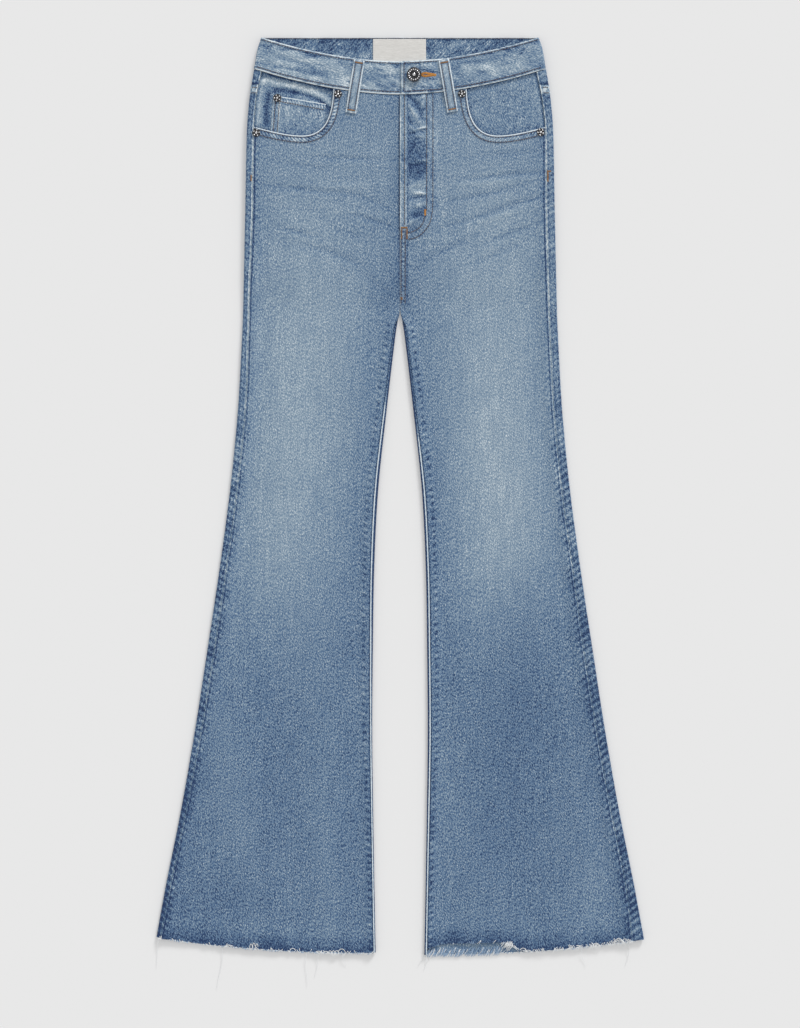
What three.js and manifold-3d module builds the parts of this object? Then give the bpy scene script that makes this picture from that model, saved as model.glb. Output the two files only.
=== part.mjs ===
// Flared five-pocket jeans, laid flat on a table with the front side up and a raw, frayed hem.
// Units are millimetres. X runs across the garment, Y from the hem to the waist, and Z up from the table.
// The back pieces lie on the table, fold over at the sides and meet the fronts there.

import * as THREE from "three";
import { mergeVertices } from "three/addons/utils/BufferGeometryUtils.js";
import Module from "manifold-3d";

// Cloth and clearances
const CLOTH = 1.2; // one layer of denim
const BAND = 2.4; // the waistband is two layers
const SEAM_GAP = 0.3; // clearance between neighbouring pieces
const LEFT = -1; // the leg on the viewer's left
const RIGHT = 1;

// Heights along the garment
const HEM_RISE = 18.6; // the hem curves up towards the side seam
const HEM_INNER = 30; // where the hem curve starts, near the inseam
const HEM_SPAN = 263; // from there to the side seam
const HEM_POWER = 2.2;
const HEM_BLEND = 90; // above this height the rows of cloth are level again
const FORK = 777.6; // where the two legs part
const FOLD_OPENS = 748; // below this the back panel folds round the inseam
const YOKE_SIDE = 1044.6; // yoke seam at the side
const YOKE_CENTRE = 985; // yoke seam at the centre back
const YOKE_HALF = 168; // half the width over which the yoke seam rises
const YOKE_BLEND = 870; // from this height the rows of the back turn towards the yoke seam
const WAIST_SEAM_SIDE = 1063.6; // lower edge of the waistband at the side
const WAIST_SEAM_FRONT = 1032.6; // lower edge of the waistband at the centre front
const WAIST_TOP = 1101.6; // upper edge of the waistband at the back
const WAIST_TOP_FRONT = 1072.2; // upper edge of the waistband at the centre front
const WAIST_HALF = 168; // half the width over which the front waist dips
const WAIST_BLEND = 935; // from this height the rows of the front follow the dip
const DIP_POWER = 1.8;

// Heights above the table
const HIP_LIFT = 1.8; // the seat lies on the back pockets and the back belt loops
const LEG_LOFT = 1.7; // how far the seams hold the front above the back in the leg
const HIP_LOFT = 3.0; // the same over the pockets
const LIFT_RANGE = [770, 825]; // heights along the garment between which the seat rises off the table
const LOFT_RANGE = [800, 965]; // and between which the loft grows from the leg to the hip
const SIDE_SEAM_REACH = 20; // the side seam holds the front up this far in from the edge
const INSEAM_REACH = 16; // and the inseam this far
const PLACKET_LIFT = 1.9; // the fly placket and the underlap raise the right front
const PLACKET_RANGE = [845, 885];
const FRONT_BAND_Z = 4.2 + HIP_LIFT; // underside of the front waistband
const OVERLAP_STEP = BAND + SEAM_GAP; // the buttoned end lies over the other one
const OVERLAP_END = 34; // how far the lower end reaches under the upper one
const OVERLAP_FADE = 46;
const OVERLAP_EDGE = 1.8; // the free edge of the upper end

// One row for each level of the half garment. side and inner are distances from the centre line.
// lapLeft and lapRight are how far the back folds over to the front at the side seam of each leg.
// tuckLeft and tuckRight are the same at the inseam.
const SECTION_COLUMNS = ["y", "side", "inner", "lapLeft", "lapRight", "tuckLeft", "tuckRight"];
const SECTION_ROWS = {
  hem: [0, 296.5, 29.2, 4.8, 15.6, 2.6, 3.4],
  lowCalf: [78, 282.4, 30.7, 5.5, 10.5, 2.6, 3.2],
  calf: [174, 263.2, 32.3, 6.2, 10, 2.6, 3.4],
  highCalf: [270, 246.4, 33.4, 7.5, 10.5, 2.7, 3.8],
  belowKnee: [366, 231.6, 32.6, 8.2, 11, 3.6, 3.9],
  knee: [462, 217.2, 31, 8, 9.5, 4.3, 4],
  aboveKnee: [558, 204.4, 26.2, 8.2, 10, 4.4, 3.9],
  thigh: [654, 195, 16, 8.6, 10, 3.8, 3],
  highThigh: [750, 189.6, 4.6, 7, 9.6, 2.8, 2.8],
  crotch: [FORK, 188.6, 0, 6.6, 9.7, 2.8, 2.8],
  hip: [894, 186, 0, 8.4, 10.4, 2.8, 2.8],
  pocket: [990, 184, 0, 8, 9.2, 2.8, 2.8],
  highHip: [1030.8, 180.6, 0, 8, 10.5, 2.8, 2.8],
  waistSeam: [1062, 175.6, 0, 9.5, 12, 2.8, 2.8],
  waist: [1088, 171, 0, 9.5, 12, 2.8, 2.8],
  waistTop: [WAIST_TOP, 166.6, 0, 9.5, 12, 2.8, 2.8],
};
const SECTIONS = Object.values(SECTION_ROWS).map((row) =>
  Object.fromEntries(SECTION_COLUMNS.map((column, index) => [column, row[index]])),
);

// Soft folds that stand up in the front of each leg: the place, half the length and width, the turn from
// upright in degrees, and the height
const FOLDS = [
  { leg: LEFT, x: 62, y: 690, length: 120, width: 26, turn: 14, height: 1.1 },
  { leg: LEFT, x: 128, y: 600, length: 150, width: 30, turn: -6, height: 0.9 },
  { leg: LEFT, x: 96, y: 350, length: 170, width: 34, turn: 4, height: 1.0 },
  { leg: LEFT, x: 196, y: 190, length: 150, width: 32, turn: 10, height: 1.2 },
  { leg: LEFT, x: 84, y: 96, length: 90, width: 24, turn: 2, height: 1.3 },
  { leg: RIGHT, x: 70, y: 670, length: 130, width: 28, turn: 12, height: 1.0 },
  { leg: RIGHT, x: 140, y: 560, length: 150, width: 30, turn: -4, height: 1.0 },
  { leg: RIGHT, x: 120, y: 300, length: 180, width: 34, turn: 8, height: 0.9 },
  { leg: RIGHT, x: 214, y: 170, length: 130, width: 30, turn: 11, height: 1.1 },
  { leg: RIGHT, x: 96, y: 70, length: 80, width: 30, turn: -3, height: 1.6 },
];

const clamp01 = (value) => Math.min(1, Math.max(0, value));
const mix = (a, b, share) => a + (b - a) * share;

function smooth(low, high, value) {
  const share = clamp01((value - low) / (high - low));
  return share * share * (3 - 2 * share);
}

// A repeatable scatter between 0 and 1, for threads that differ from one another
function scatter(index, salt) {
  const wave = Math.sin(index * 12.9898 + salt * 78.233) * 43758.5453;
  return wave - Math.floor(wave);
}

function steps(count) {
  return Array.from({ length: count + 1 }, (_, index) => index / count);
}

// The value of one column at a height, on a smooth curve through the rows
function section(column, height) {
  const last = SECTIONS.length - 1;
  const y = Math.min(SECTIONS[last].y, Math.max(SECTIONS[0].y, height));
  let row = 0;
  while (row < last - 1 && SECTIONS[row + 1].y < y) row += 1;
  const slopeAt = (index) => {
    const before = SECTIONS[Math.max(0, index - 1)];
    const here = SECTIONS[index][column];
    const after = SECTIONS[Math.min(last, index + 1)];
    const levelsOut = index > 0 && index < last && (after[column] - here) * (here - before[column]) <= 0;
    return levelsOut ? 0 : (after[column] - before[column]) / (after.y - before.y);
  };
  const from = SECTIONS[row];
  const to = SECTIONS[row + 1];
  const span = to.y - from.y;
  const t = (y - from.y) / span;
  const rest = 1 - t;
  return (
    from[column] * (1 + 2 * t) * rest * rest +
    slopeAt(row) * span * t * rest * rest +
    to[column] * (3 - 2 * t) * t * t -
    slopeAt(row + 1) * span * rest * t * t
  );
}

const lapColumn = (leg) => (leg === LEFT ? "lapLeft" : "lapRight");
const tuckColumn = (leg) => (leg === LEFT ? "tuckLeft" : "tuckRight");

// The waist dips at the centre front and is straight at the back
function waistSeam(x) {
  const reach = Math.min(1, Math.abs(x) / section("side", WAIST_SEAM_SIDE));
  return mix(WAIST_SEAM_FRONT, WAIST_SEAM_SIDE, reach ** DIP_POWER);
}

function waistTop(x) {
  const reach = Math.min(1, Math.abs(x) / WAIST_HALF);
  return mix(WAIST_TOP_FRONT, WAIST_TOP, reach ** DIP_POWER);
}

// Edges of the band at the side: round is 0 on the front and 1 from the middle of the fold to the back
const bandBottom = (x, round) => mix(waistSeam(x), WAIST_SEAM_SIDE, round);
const bandTop = (x, round) => mix(waistTop(x), WAIST_TOP, round);

function yokeSeam(x) {
  return mix(YOKE_CENTRE, YOKE_SIDE, Math.min(1, Math.abs(x) / YOKE_HALF));
}

// The raw hems, each a little above or below the common curve. The front of the right leg is cut higher near
// the inseam, and the back shows below it.
const HEM_OFFSETS = { frontLeft: 1.2, frontRight: -0.8, backLeft: 2.4, backRight: -0.6 };
const NOTCH = { depth: 13.5, risesBy: 60, fallsFrom: 118, fallsBy: 158 };

function hem(x) {
  const reach = clamp01((Math.abs(x) - HEM_INNER) / HEM_SPAN);
  return HEM_RISE * reach ** HEM_POWER;
}

function frontHem(leg, x) {
  const away = Math.abs(x);
  if (leg === LEFT) return hem(x) + HEM_OFFSETS.frontLeft;
  const notch = smooth(0, NOTCH.risesBy, away) * (1 - smooth(NOTCH.fallsFrom, NOTCH.fallsBy, away));
  return hem(x) + NOTCH.depth * notch + HEM_OFFSETS.frontRight;
}

function backHem(leg, x) {
  return hem(x) + (leg === LEFT ? HEM_OFFSETS.backLeft : HEM_OFFSETS.backRight);
}

const lift = (y) => HIP_LIFT * smooth(...LIFT_RANGE, y);
const seamLoft = (y) => mix(LEG_LOFT, HIP_LOFT, smooth(...LOFT_RANGE, y));
const foldHeight = (y) => 2 * CLOTH + SEAM_GAP + seamLoft(y);
const foldedShare = (y) => 1 - smooth(FOLD_OPENS, FORK, y);

function foldsAt(leg, x, y) {
  return FOLDS.filter((fold) => fold.leg === leg).reduce((sum, fold) => {
    const turn = THREE.MathUtils.degToRad(fold.turn);
    const dx = Math.abs(x) - fold.x;
    const dy = y - fold.y;
    const across = (dx * Math.cos(turn) - dy * Math.sin(turn)) / fold.width;
    const along = (dx * Math.sin(turn) + dy * Math.cos(turn)) / fold.length;
    return sum + fold.height * Math.exp(-across * across - along * along);
  }, 0);
}

// The layers behind the fly hold the right front up beside the opening
function flyLoft(leg, x, y) {
  if (leg === LEFT) return 0;
  const across = 1 - smooth(OVERLAP_END, OVERLAP_FADE, Math.abs(x));
  return PLACKET_LIFT * across * smooth(...PLACKET_RANGE, y);
}

// Edges of a front panel at a height, as distances from the centre line
function frontEdges(leg, y) {
  const folded = foldedShare(y);
  const inner = section("inner", y) + section(tuckColumn(leg), y) * folded;
  return {
    outer: section("side", y) - section(lapColumn(leg), y) - SEAM_GAP,
    inner: inner + SEAM_GAP * mix(0.5, 1, folded),
  };
}

// Underside of a front panel: it rests on the back in the middle, and its seams hold it up at the edges
function frontUnderside(leg, x, y) {
  const edges = frontEdges(leg, y);
  const away = Math.abs(x);
  const nearSide = 1 - smooth(0, SIDE_SEAM_REACH, edges.outer - away);
  const nearInseam = (1 - smooth(0, INSEAM_REACH, away - edges.inner)) * foldedShare(y);
  const middle = mix(foldsAt(leg, x, y), HIP_LOFT, smooth(...LOFT_RANGE, y));
  const loft = mix(middle, seamLoft(y), Math.max(nearSide, nearInseam));
  return lift(y) + CLOTH + SEAM_GAP + loft + flyLoft(leg, x, y);
}

const positions = (numbers) => new THREE.Float32BufferAttribute(numbers, 3);

// A closed wall between an outer and an inner grid of points, with a rim round its four edges
function closedWall(outer, inner) {
  const rows = outer.length;
  const columns = outer[0].length;
  const points = [...outer.flat(), ...inner.flat()];
  const at = (row, column) => row * columns + column;
  const under = (row, column) => rows * columns + at(row, column);
  const faces = [];
  const quad = (a, b, c, d) => faces.push(a, b, c, a, c, d);
  for (let row = 0; row < rows - 1; row += 1) {
    for (let column = 0; column < columns - 1; column += 1) {
      quad(at(row, column), at(row, column + 1), at(row + 1, column + 1), at(row + 1, column));
      const across = under(row + 1, column + 1);
      quad(under(row, column), under(row + 1, column), across, under(row, column + 1));
    }
    quad(at(row, 0), at(row + 1, 0), under(row + 1, 0), under(row, 0));
    const end = columns - 1;
    quad(at(row, end), under(row, end), under(row + 1, end), at(row + 1, end));
  }
  for (let column = 0; column < columns - 1; column += 1) {
    quad(at(0, column), under(0, column), under(0, column + 1), at(0, column + 1));
    const top = rows - 1;
    quad(at(top, column), at(top, column + 1), under(top, column + 1), under(top, column));
  }
  const geometry = new THREE.BufferGeometry();
  geometry.setAttribute("position", positions(points.flatMap((p) => [p.x, p.y, p.z])));
  geometry.setIndex(signedVolume(points, faces) < 0 ? faces.slice().reverse() : faces);
  return geometry;
}

function signedVolume(points, faces) {
  let volume = 0;
  for (let index = 0; index < faces.length; index += 3) {
    const [a, b, c] = [0, 1, 2].map((corner) => points[faces[index + corner]]);
    volume += new THREE.Vector3().crossVectors(b, c).dot(a) / 6;
  }
  return volume;
}

// A flat-lying wall: surface gives the underside point for each row and column share
function layeredWall(rowShares, columnShares, thickness, surface) {
  const low = rowShares.map((v) => columnShares.map((u) => surface(u, v)));
  const high = low.map((row) => row.map((p) => new THREE.Vector3(p.x, p.y, p.z + thickness)));
  return closedWall(high, low);
}

const SAME_POINT = 1e-3; // corners nearer than this are one
const wasm = await Module();
wasm.setup();

function solidOf(geometry) {
  const bare = geometry.clone();
  for (const name of Object.keys(bare.attributes)) {
    if (name !== "position") bare.deleteAttribute(name);
  }
  const merged = mergeVertices(bare, SAME_POINT);
  return new wasm.Manifold(
    new wasm.Mesh({
      numProp: 3,
      vertProperties: new Float32Array(merged.attributes.position.array),
      triVerts: new Uint32Array(merged.index.array),
    }),
  );
}

function geometryOf(solid) {
  const mesh = solid.getMesh();
  const geometry = new THREE.BufferGeometry();
  geometry.setAttribute("position", positions(Array.from(mesh.vertProperties)));
  geometry.setIndex(Array.from(mesh.triVerts));
  return geometry;
}

// The pocket mouth: two curves that meet at its lowest place. Each has its end points and two guide points.
const MOUTH_TOP = [79.5, 1048];
const MOUTH_LOW = [117.6, 983.3];
const MOUTH_SIDE = [178, 994.5];
const MOUTH_CURVES = [
  [MOUTH_TOP, [80.5, 1012], [86, 983.5], MOUTH_LOW],
  [MOUTH_LOW, [137, 983.2], [160, 990], MOUTH_SIDE],
];
const MOUTH_STEPS = 10; // straight steps in each half of the mouth
const MOUTH_CUT = { outer: 200, top: 1090, from: -5, depth: 30 }; // well past the panel on every side

function mouthCutter(leg) {
  const onLeg = ([x, y]) => new THREE.Vector2(x * leg, y);
  const curves = MOUTH_CURVES.map((points) => new THREE.CubicBezierCurve(...points.map(onLeg)));
  const beyond = [
    [MOUTH_CUT.outer, MOUTH_SIDE[1]],
    [MOUTH_CUT.outer, MOUTH_CUT.top],
    [MOUTH_TOP[0], MOUTH_CUT.top],
  ];
  const outline = [...curves.flatMap((curve) => curve.getPoints(MOUTH_STEPS)), ...beyond.map(onLeg)];
  const shape = new THREE.Shape(outline);
  const solid = new THREE.ExtrudeGeometry(shape, { depth: MOUTH_CUT.depth, bevelEnabled: false });
  return solid.translate(0, 0, MOUTH_CUT.from);
}

// Rows of a leg, closer together where the cloth bends
const LOWER_ROWS = [0, 18, 45, 85, 130, 180, 235, 290, 345, 400, 450, 500, 550, 600, 650, 700];
const CROTCH_ROWS = [FOLD_OPENS, 763, FORK, 800, 822, 850, 885, 925, 965];
const LEG_ROWS = [...LOWER_ROWS, ...CROTCH_ROWS];
const FRONT_ROWS = [...LEG_ROWS, 1000, 1032, WAIST_SEAM_SIDE];
const BACK_ROWS = [...LEG_ROWS, 1005, YOKE_SIDE];
const PANEL_COLUMNS = [0, 0.045, 0.1, 0.2, 0.33, 0.47, 0.6, 0.7, 0.76, 0.83, 0.91, 0.96, 1];
const PASSES = 3; // a row's height depends on its place across, so both are found by turns

function frontHeight(leg, x, y) {
  const dip = (waistSeam(x) - SEAM_GAP - WAIST_SEAM_SIDE) * smooth(WAIST_BLEND, WAIST_SEAM_SIDE, y);
  const rise = frontHem(leg, x) * (1 - smooth(0, HEM_BLEND, y));
  return y + dip + rise;
}

function frontPoint(leg, u, rowY) {
  let y = rowY;
  let x = 0;
  for (let pass = 0; pass < PASSES; pass += 1) {
    const edges = frontEdges(leg, y);
    x = mix(edges.outer, edges.inner, u);
    y = frontHeight(leg, x, rowY);
  }
  return new THREE.Vector3(x * leg, y, frontUnderside(leg, x, y));
}

function frontLeg(leg) {
  const surface = (u, rowY) => frontPoint(leg, u, rowY);
  const whole = solidOf(layeredWall(FRONT_ROWS, PANEL_COLUMNS, CLOTH, surface));
  return geometryOf(whole.subtract(solidOf(mouthCutter(leg))));
}

const FOLD_STEPS = 5; // straight steps round a folded edge
const LAP_SHARES = [0, 0.5];
const FLAT_SHARES = [0.06, 0.14, 0.3, 0.5, 0.7, 0.86];
const FLAT_END = 6; // above the crotch the flat part ends here, and the last steps close up to the centre

// Section of the back, from the side seam on top, round the fold, along the table and round the inseam.
// It is the outer face of the wall at a share of 0, and the inner face at 1.
function backSection(leg, y, shareOfWall) {
  const height = foldHeight(y);
  const radius = height / 2;
  const inset = CLOTH * shareOfWall;
  const side = section("side", y);
  const lap = section(lapColumn(leg), y);
  const tuck = section(tuckColumn(leg), y);
  const inner = section("inner", y);
  const folded = foldedShare(y);
  const base = lift(y);
  const points = [];
  for (const t of LAP_SHARES) {
    points.push([mix(side - lap, side - radius, t), base + height - inset]);
  }
  for (const t of steps(FOLD_STEPS)) {
    const angle = Math.PI * (0.5 - t);
    const reach = radius - inset;
    points.push([side - radius + reach * Math.cos(angle), base + radius + reach * Math.sin(angle)]);
  }
  const from = side - radius;
  const to = mix(FLAT_END, inner + radius, folded);
  for (const t of FLAT_SHARES) points.push([mix(from, to, t), base + inset]);
  const centre = SEAM_GAP / 2;
  for (const t of steps(FOLD_STEPS)) {
    const angle = -Math.PI * (0.5 + t);
    const reach = radius - inset;
    const foldX = inner + radius + reach * Math.cos(angle);
    const foldZ = radius + reach * Math.sin(angle);
    points.push([mix(mix(FLAT_END, centre + 1, t), foldX, folded), base + mix(inset, foldZ, folded)]);
  }
  const endX = mix(centre, inner + tuck, folded);
  points.push([endX, base + mix(inset, height - inset, folded)]);
  return points;
}

function backHeight(leg, x, y) {
  const dip = (yokeSeam(x) - SEAM_GAP / 2 - YOKE_SIDE) * smooth(YOKE_BLEND, YOKE_SIDE, y);
  return y + dip + backHem(leg, x) * (1 - smooth(0, HEM_BLEND, y));
}

function backRow(leg, rowY, shareOfWall) {
  return backSection(leg, rowY, shareOfWall).map(([firstX], index) => {
    let y = backHeight(leg, firstX, rowY);
    let [x, z] = backSection(leg, y, shareOfWall)[index];
    y = backHeight(leg, x, rowY);
    [x, z] = backSection(leg, y, shareOfWall)[index];
    return new THREE.Vector3(x * leg, y, z);
  });
}

function backLeg(leg) {
  const rowsAt = (shareOfWall) => BACK_ROWS.map((rowY) => backRow(leg, rowY, shareOfWall));
  return closedWall(rowsAt(0), rowsAt(1));
}

const YOKE_LEVEL = 1054.6; // the yoke is short, so its section at this height serves all of it

function backYoke(leg) {
  const heightAt = (x, share, index) => {
    const round = clamp01((index - LAP_SHARES.length) / (FOLD_STEPS / 2));
    return mix(yokeSeam(x) + SEAM_GAP / 2, bandBottom(x, round) - 2 * SEAM_GAP, share);
  };
  const rowsAt = (shareOfWall) =>
    [0, 0.5, 1].map((share) =>
      backSection(leg, YOKE_LEVEL, shareOfWall).map(([firstX], index) => {
        const y = heightAt(firstX, share, index);
        const [x, z] = backSection(leg, y, shareOfWall)[index];
        return new THREE.Vector3(x * leg, heightAt(x, share, index), z);
      }),
    );
  return closedWall(rowsAt(0), rowsAt(1));
}

// The waistband is one strip. It runs from the lower end at the centre front, round the left side, across
// the back, round the right side, and over the lower end.
const BAND_SHARES = [0, 0.33, 0.67, 1];
const BAND_LEFT = [OVERLAP_END, 22, 10, 0, -20, -45, -70, -95, -120, -142, -156];
const BAND_BACK = [-130, -65, 0, 65, 130];
const BAND_RIGHT = [156, 142, 120, 95, 70, OVERLAP_FADE, 42, 38, OVERLAP_END, 22, 10, OVERLAP_EDGE];

function waistband() {
  const backZ = HIP_LIFT + BAND / 2;
  const frontZ = FRONT_BAND_Z + BAND / 2;
  const radius = (frontZ - backZ) / 2;
  const outerRadius = radius + BAND / 2;
  const stations = [];
  const front = (leg, x) => {
    const raised = leg === RIGHT ? OVERLAP_STEP * (1 - smooth(OVERLAP_END, OVERLAP_FADE, x)) : 0;
    return { place: () => x, z: frontZ + raised, normal: [0, 1], top: waistTop, bottom: waistSeam };
  };
  const fold = (leg, t) => {
    const angle = Math.PI * (0.5 - t);
    const round = clamp01(2 * t);
    return {
      place: (y) => leg * (section("side", y) - outerRadius + radius * Math.cos(angle)),
      z: backZ + radius + radius * Math.sin(angle),
      normal: [leg * Math.cos(angle), Math.sin(angle)],
      top: (x) => bandTop(x, round),
      bottom: (x) => bandBottom(x, round),
    };
  };
  for (const x of BAND_LEFT) stations.push(front(LEFT, x));
  for (const t of steps(FOLD_STEPS)) stations.push(fold(LEFT, t));
  for (const x of BAND_BACK) {
    stations.push({
      place: () => x,
      z: backZ,
      normal: [0, -1],
      top: () => WAIST_TOP,
      bottom: () => WAIST_SEAM_SIDE,
    });
  }
  for (const t of steps(FOLD_STEPS).reverse()) stations.push(fold(RIGHT, t));
  for (const x of BAND_RIGHT) stations.push(front(RIGHT, x));
  const gridAt = (side) =>
    BAND_SHARES.map((share) =>
      stations.map((station) => {
        let y = mix(WAIST_SEAM_SIDE, WAIST_TOP, share);
        let x = station.place(y);
        y = mix(station.bottom(x), station.top(x), share);
        x = station.place(y);
        const out = (side * BAND) / 2;
        return new THREE.Vector3(x + station.normal[0] * out, y, station.z + station.normal[1] * out);
      }),
    );
  return closedWall(gridAt(1), gridAt(-1));
}

// Denim that shows in a front pocket's mouth, and the coin pocket that lies on it
const FACING_Z = { [LEFT]: 1.7 + HIP_LIFT, [RIGHT]: 2.7 + HIP_LIFT };
const FACING_INNER = 66;
const FACING_BOTTOM = 970;

function pocketFacing(leg) {
  const surface = (u, v) => {
    let y = mix(FACING_BOTTOM, WAIST_SEAM_SIDE, v);
    let x = mix(FACING_INNER, frontEdges(leg, y).outer, u);
    y = mix(FACING_BOTTOM, waistSeam(x) - SEAM_GAP, v);
    x = mix(FACING_INNER, frontEdges(leg, y).outer, u);
    return new THREE.Vector3(x * leg, y, FACING_Z[leg]);
  };
  return layeredWall(steps(5), steps(4), CLOTH, surface);
}

const COIN = {
  z: 3.2 + HIP_LIFT,
  cloth: 1,
  topOuter: new THREE.Vector2(-152, 1032),
  topInner: new THREE.Vector2(-89, 1021.5),
  bottomOuter: new THREE.Vector2(-156, 976),
  bottomInner: new THREE.Vector2(-93, 976),
};

function coinPocket() {
  const surface = (u, v) => {
    const bottom = COIN.bottomOuter.clone().lerp(COIN.bottomInner, u);
    const top = COIN.topOuter.clone().lerp(COIN.topInner, u);
    const { x, y } = bottom.lerp(top, v);
    return new THREE.Vector3(x, y, COIN.z);
  };
  return layeredWall(steps(3), steps(3), COIN.cloth, surface);
}

// Belt loops. The front ones lie on the band and reach down onto the fronts, and the back ones lie under
// the garment. A front loop steps up from the panel onto the band, and it bulges between its two sewn ends.
// Where it does so is given in shares of its length.
const LOOP = { width: 12.8, cloth: 1.8, back: 1.5, bulge: 0.9 };
const LOOP_STEP = [0.14, 0.34];
const LOOP_BULGE = [0.12, 0.92];
const LOOP_SHARES = [0, 0.08, 0.16, 0.22, 0.28, 0.34, 0.44, 0.56, 0.68, 0.8, 0.9, 1];
const BACK_LOOP_LOW = 1040;
const FRONT_LOOPS = [
  { name: "belt_loop_front_left", top: [-48.7, 1073.4], bottom: [-59, 1010.5] },
  { name: "belt_loop_front_right", top: [52.6, 1073.8], bottom: [63.2, 1011.7] },
];
const BACK_LOOPS = [
  { name: "belt_loop_back_left", x: -112 },
  { name: "belt_loop_back_centre", x: 0 },
  { name: "belt_loop_back_right", x: 112 },
];

function frontLoop({ top, bottom }) {
  const along = new THREE.Vector2(top[0] - bottom[0], top[1] - bottom[1]);
  const across = new THREE.Vector2(along.y, -along.x).normalize();
  const onBand = FRONT_BAND_Z + BAND + SEAM_GAP;
  const onPanel = HIP_LIFT + 2 * CLOTH + SEAM_GAP + HIP_LOFT + SEAM_GAP;
  const surface = (u, v) => {
    const x = mix(bottom[0], top[0], v) + across.x * LOOP.width * (u - 0.5);
    const y = mix(bottom[1], top[1], v) + across.y * LOOP.width * (u - 0.5);
    const [from, to] = LOOP_BULGE;
    const bulge = LOOP.bulge * Math.sin(Math.PI * clamp01((v - from) / (to - from))) ** 2;
    const z = mix(onPanel, onBand, smooth(...LOOP_STEP, v)) + bulge;
    return new THREE.Vector3(x, y, z);
  };
  return layeredWall(LOOP_SHARES, steps(2), LOOP.cloth, surface);
}

function backLoop({ x }) {
  const high = WAIST_TOP - 1;
  const surface = (u, v) => new THREE.Vector3(x + LOOP.width * (u - 0.5), mix(BACK_LOOP_LOW, high, v), 0);
  return layeredWall(steps(2), steps(1), LOOP.back, surface);
}

// A back pocket: five corners, flat on the table
const BACK_POCKET_CLOTH = 1.5;
const BACK_POCKET_CORNERS = [
  [30, 968],
  [36, 862],
  [95, 838],
  [154, 866],
  [160, 984],
];

function backPocket(leg) {
  const shape = new THREE.Shape(BACK_POCKET_CORNERS.map(([x, y]) => new THREE.Vector2(x * leg, y)));
  return new THREE.ExtrudeGeometry(shape, { depth: BACK_POCKET_CLOTH, bevelEnabled: false });
}

// The bare label inside the back of the waistband
const LABEL = { width: 63.6, height: 31.4, thick: 0.9, x: -0.6, top: 1099.6 };

function waistLabel() {
  const z = HIP_LIFT + BAND + SEAM_GAP + LABEL.thick / 2;
  const slab = new THREE.BoxGeometry(LABEL.width, LABEL.height, LABEL.thick);
  return slab.translate(LABEL.x, LABEL.top - LABEL.height / 2, z);
}

// Metal parts, each a profile of [radius, height] turned about its own axis
const BUTTON_SHANK = [[0, 0], [3.4, 0], [3.4, 1.1]];
const BUTTON_RIM = [[7.4, 1.2], [8.6, 1.7], [8.8, 2.5], [8.3, 3.3], [7.3, 3.5], [6.6, 3.1]];
const BUTTON_CAP = [[5.2, 3.0], [4.4, 3.3], [3.1, 3.9], [1.5, 4.15], [0, 4.2]];
const BUTTON_PROFILE = [...BUTTON_SHANK, ...BUTTON_RIM, ...BUTTON_CAP];
const BUTTON_SIDES = 24;
const RIVET_DISH = [[0, 0], [4.5, 0], [4.9, 0.4], [4.7, 1.0], [3.8, 1.3], [2.7, 1.15]];
const RIVET_NUB = [[2.1, 1.5], [1.1, 1.9], [0, 2]];
const RIVET_PROFILE = [...RIVET_DISH, ...RIVET_NUB];
const RIVET_SIDES = 16;

function turned(profile, sides) {
  const points = profile.map(([radius, height]) => new THREE.Vector2(radius, height));
  return new THREE.LatheGeometry(points, sides).rotateX(Math.PI / 2);
}

const PANEL_TOP = HIP_LIFT + 2 * CLOTH + SEAM_GAP + HIP_LOFT;
const RIVETS = [
  { name: "rivet_coin_pocket", x: -147.4, y: 1028.6, on: COIN.z + COIN.cloth },
  { name: "rivet_mouth_inner_left", x: -74.4, y: 1033.2, on: PANEL_TOP },
  { name: "rivet_mouth_outer_left", x: -172.4, y: 986.6, on: PANEL_TOP },
  { name: "rivet_mouth_inner_right", x: 74.3, y: 1033.4, on: PANEL_TOP },
  { name: "rivet_mouth_outer_right", x: 168.8, y: 987.2, on: PANEL_TOP },
];
const BUTTON = { x: 16.8, y: 1055.5, z: FRONT_BAND_Z + BAND + OVERLAP_STEP + SEAM_GAP };

// Frayed hems. Each is a narrow strip along the cut edge with threads hanging from it. A few are long loose
// ends, listed by their distance from the centre line.
const FRINGES = [
  {
    name: "hem_fringe_front_left",
    leg: LEFT,
    front: true,
    threads: 40,
    longest: [
      { at: 68, length: 17 },
      { at: 99, length: 30 },
      { at: 112, length: 42 },
      { at: 214, length: 52 },
      { at: 290, length: 36 },
    ],
  },
  { name: "hem_fringe_back_left", leg: LEFT, front: false, threads: 32, longest: [] },
  {
    name: "hem_fringe_front_right",
    leg: RIGHT,
    front: true,
    threads: 40,
    longest: [
      { at: 219.6, length: 24 },
      { at: 273.6, length: 30 },
    ],
  },
  {
    name: "hem_fringe_back_right",
    leg: RIGHT,
    front: false,
    threads: 40,
    longest: [{ at: 33, length: 19 }],
  },
];
const FRINGE = {
  strip: 1.4, // width of the strip that holds the threads
  thick: 0.5,
  root: 0.4, // half the width of a thread at its root
  tip: 0.15, // and at its tip
  shortest: 2.4,
  spread: 3.4, // how much longer the longest common thread is
  spreadPower: 1.6, // most threads are short
  lean: 1.6, // how far a thread leans to one side half way down
  tipLean: 1.3, // and at its tip, as a multiple
  bent: 0.6, // a long thread is this much narrower on one side half way down
  floor: 0.35, // height of the lowest threads above the table
  sinks: [9, 22], // a long thread sinks to the table between these distances from the edge
};

// The straight steps of a panel's cut edge, from the inseam outwards
function hemLine(leg, front) {
  const frontPoints = () => PANEL_COLUMNS.map((u) => frontPoint(leg, u, 0));
  const backPoints = () => backRow(leg, 0, 0).filter((p) => p.z < SAME_POINT);
  const points = front ? frontPoints() : backPoints();
  return points.map((p) => [Math.abs(p.x), p.y]).sort((a, b) => a[0] - b[0]);
}

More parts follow.
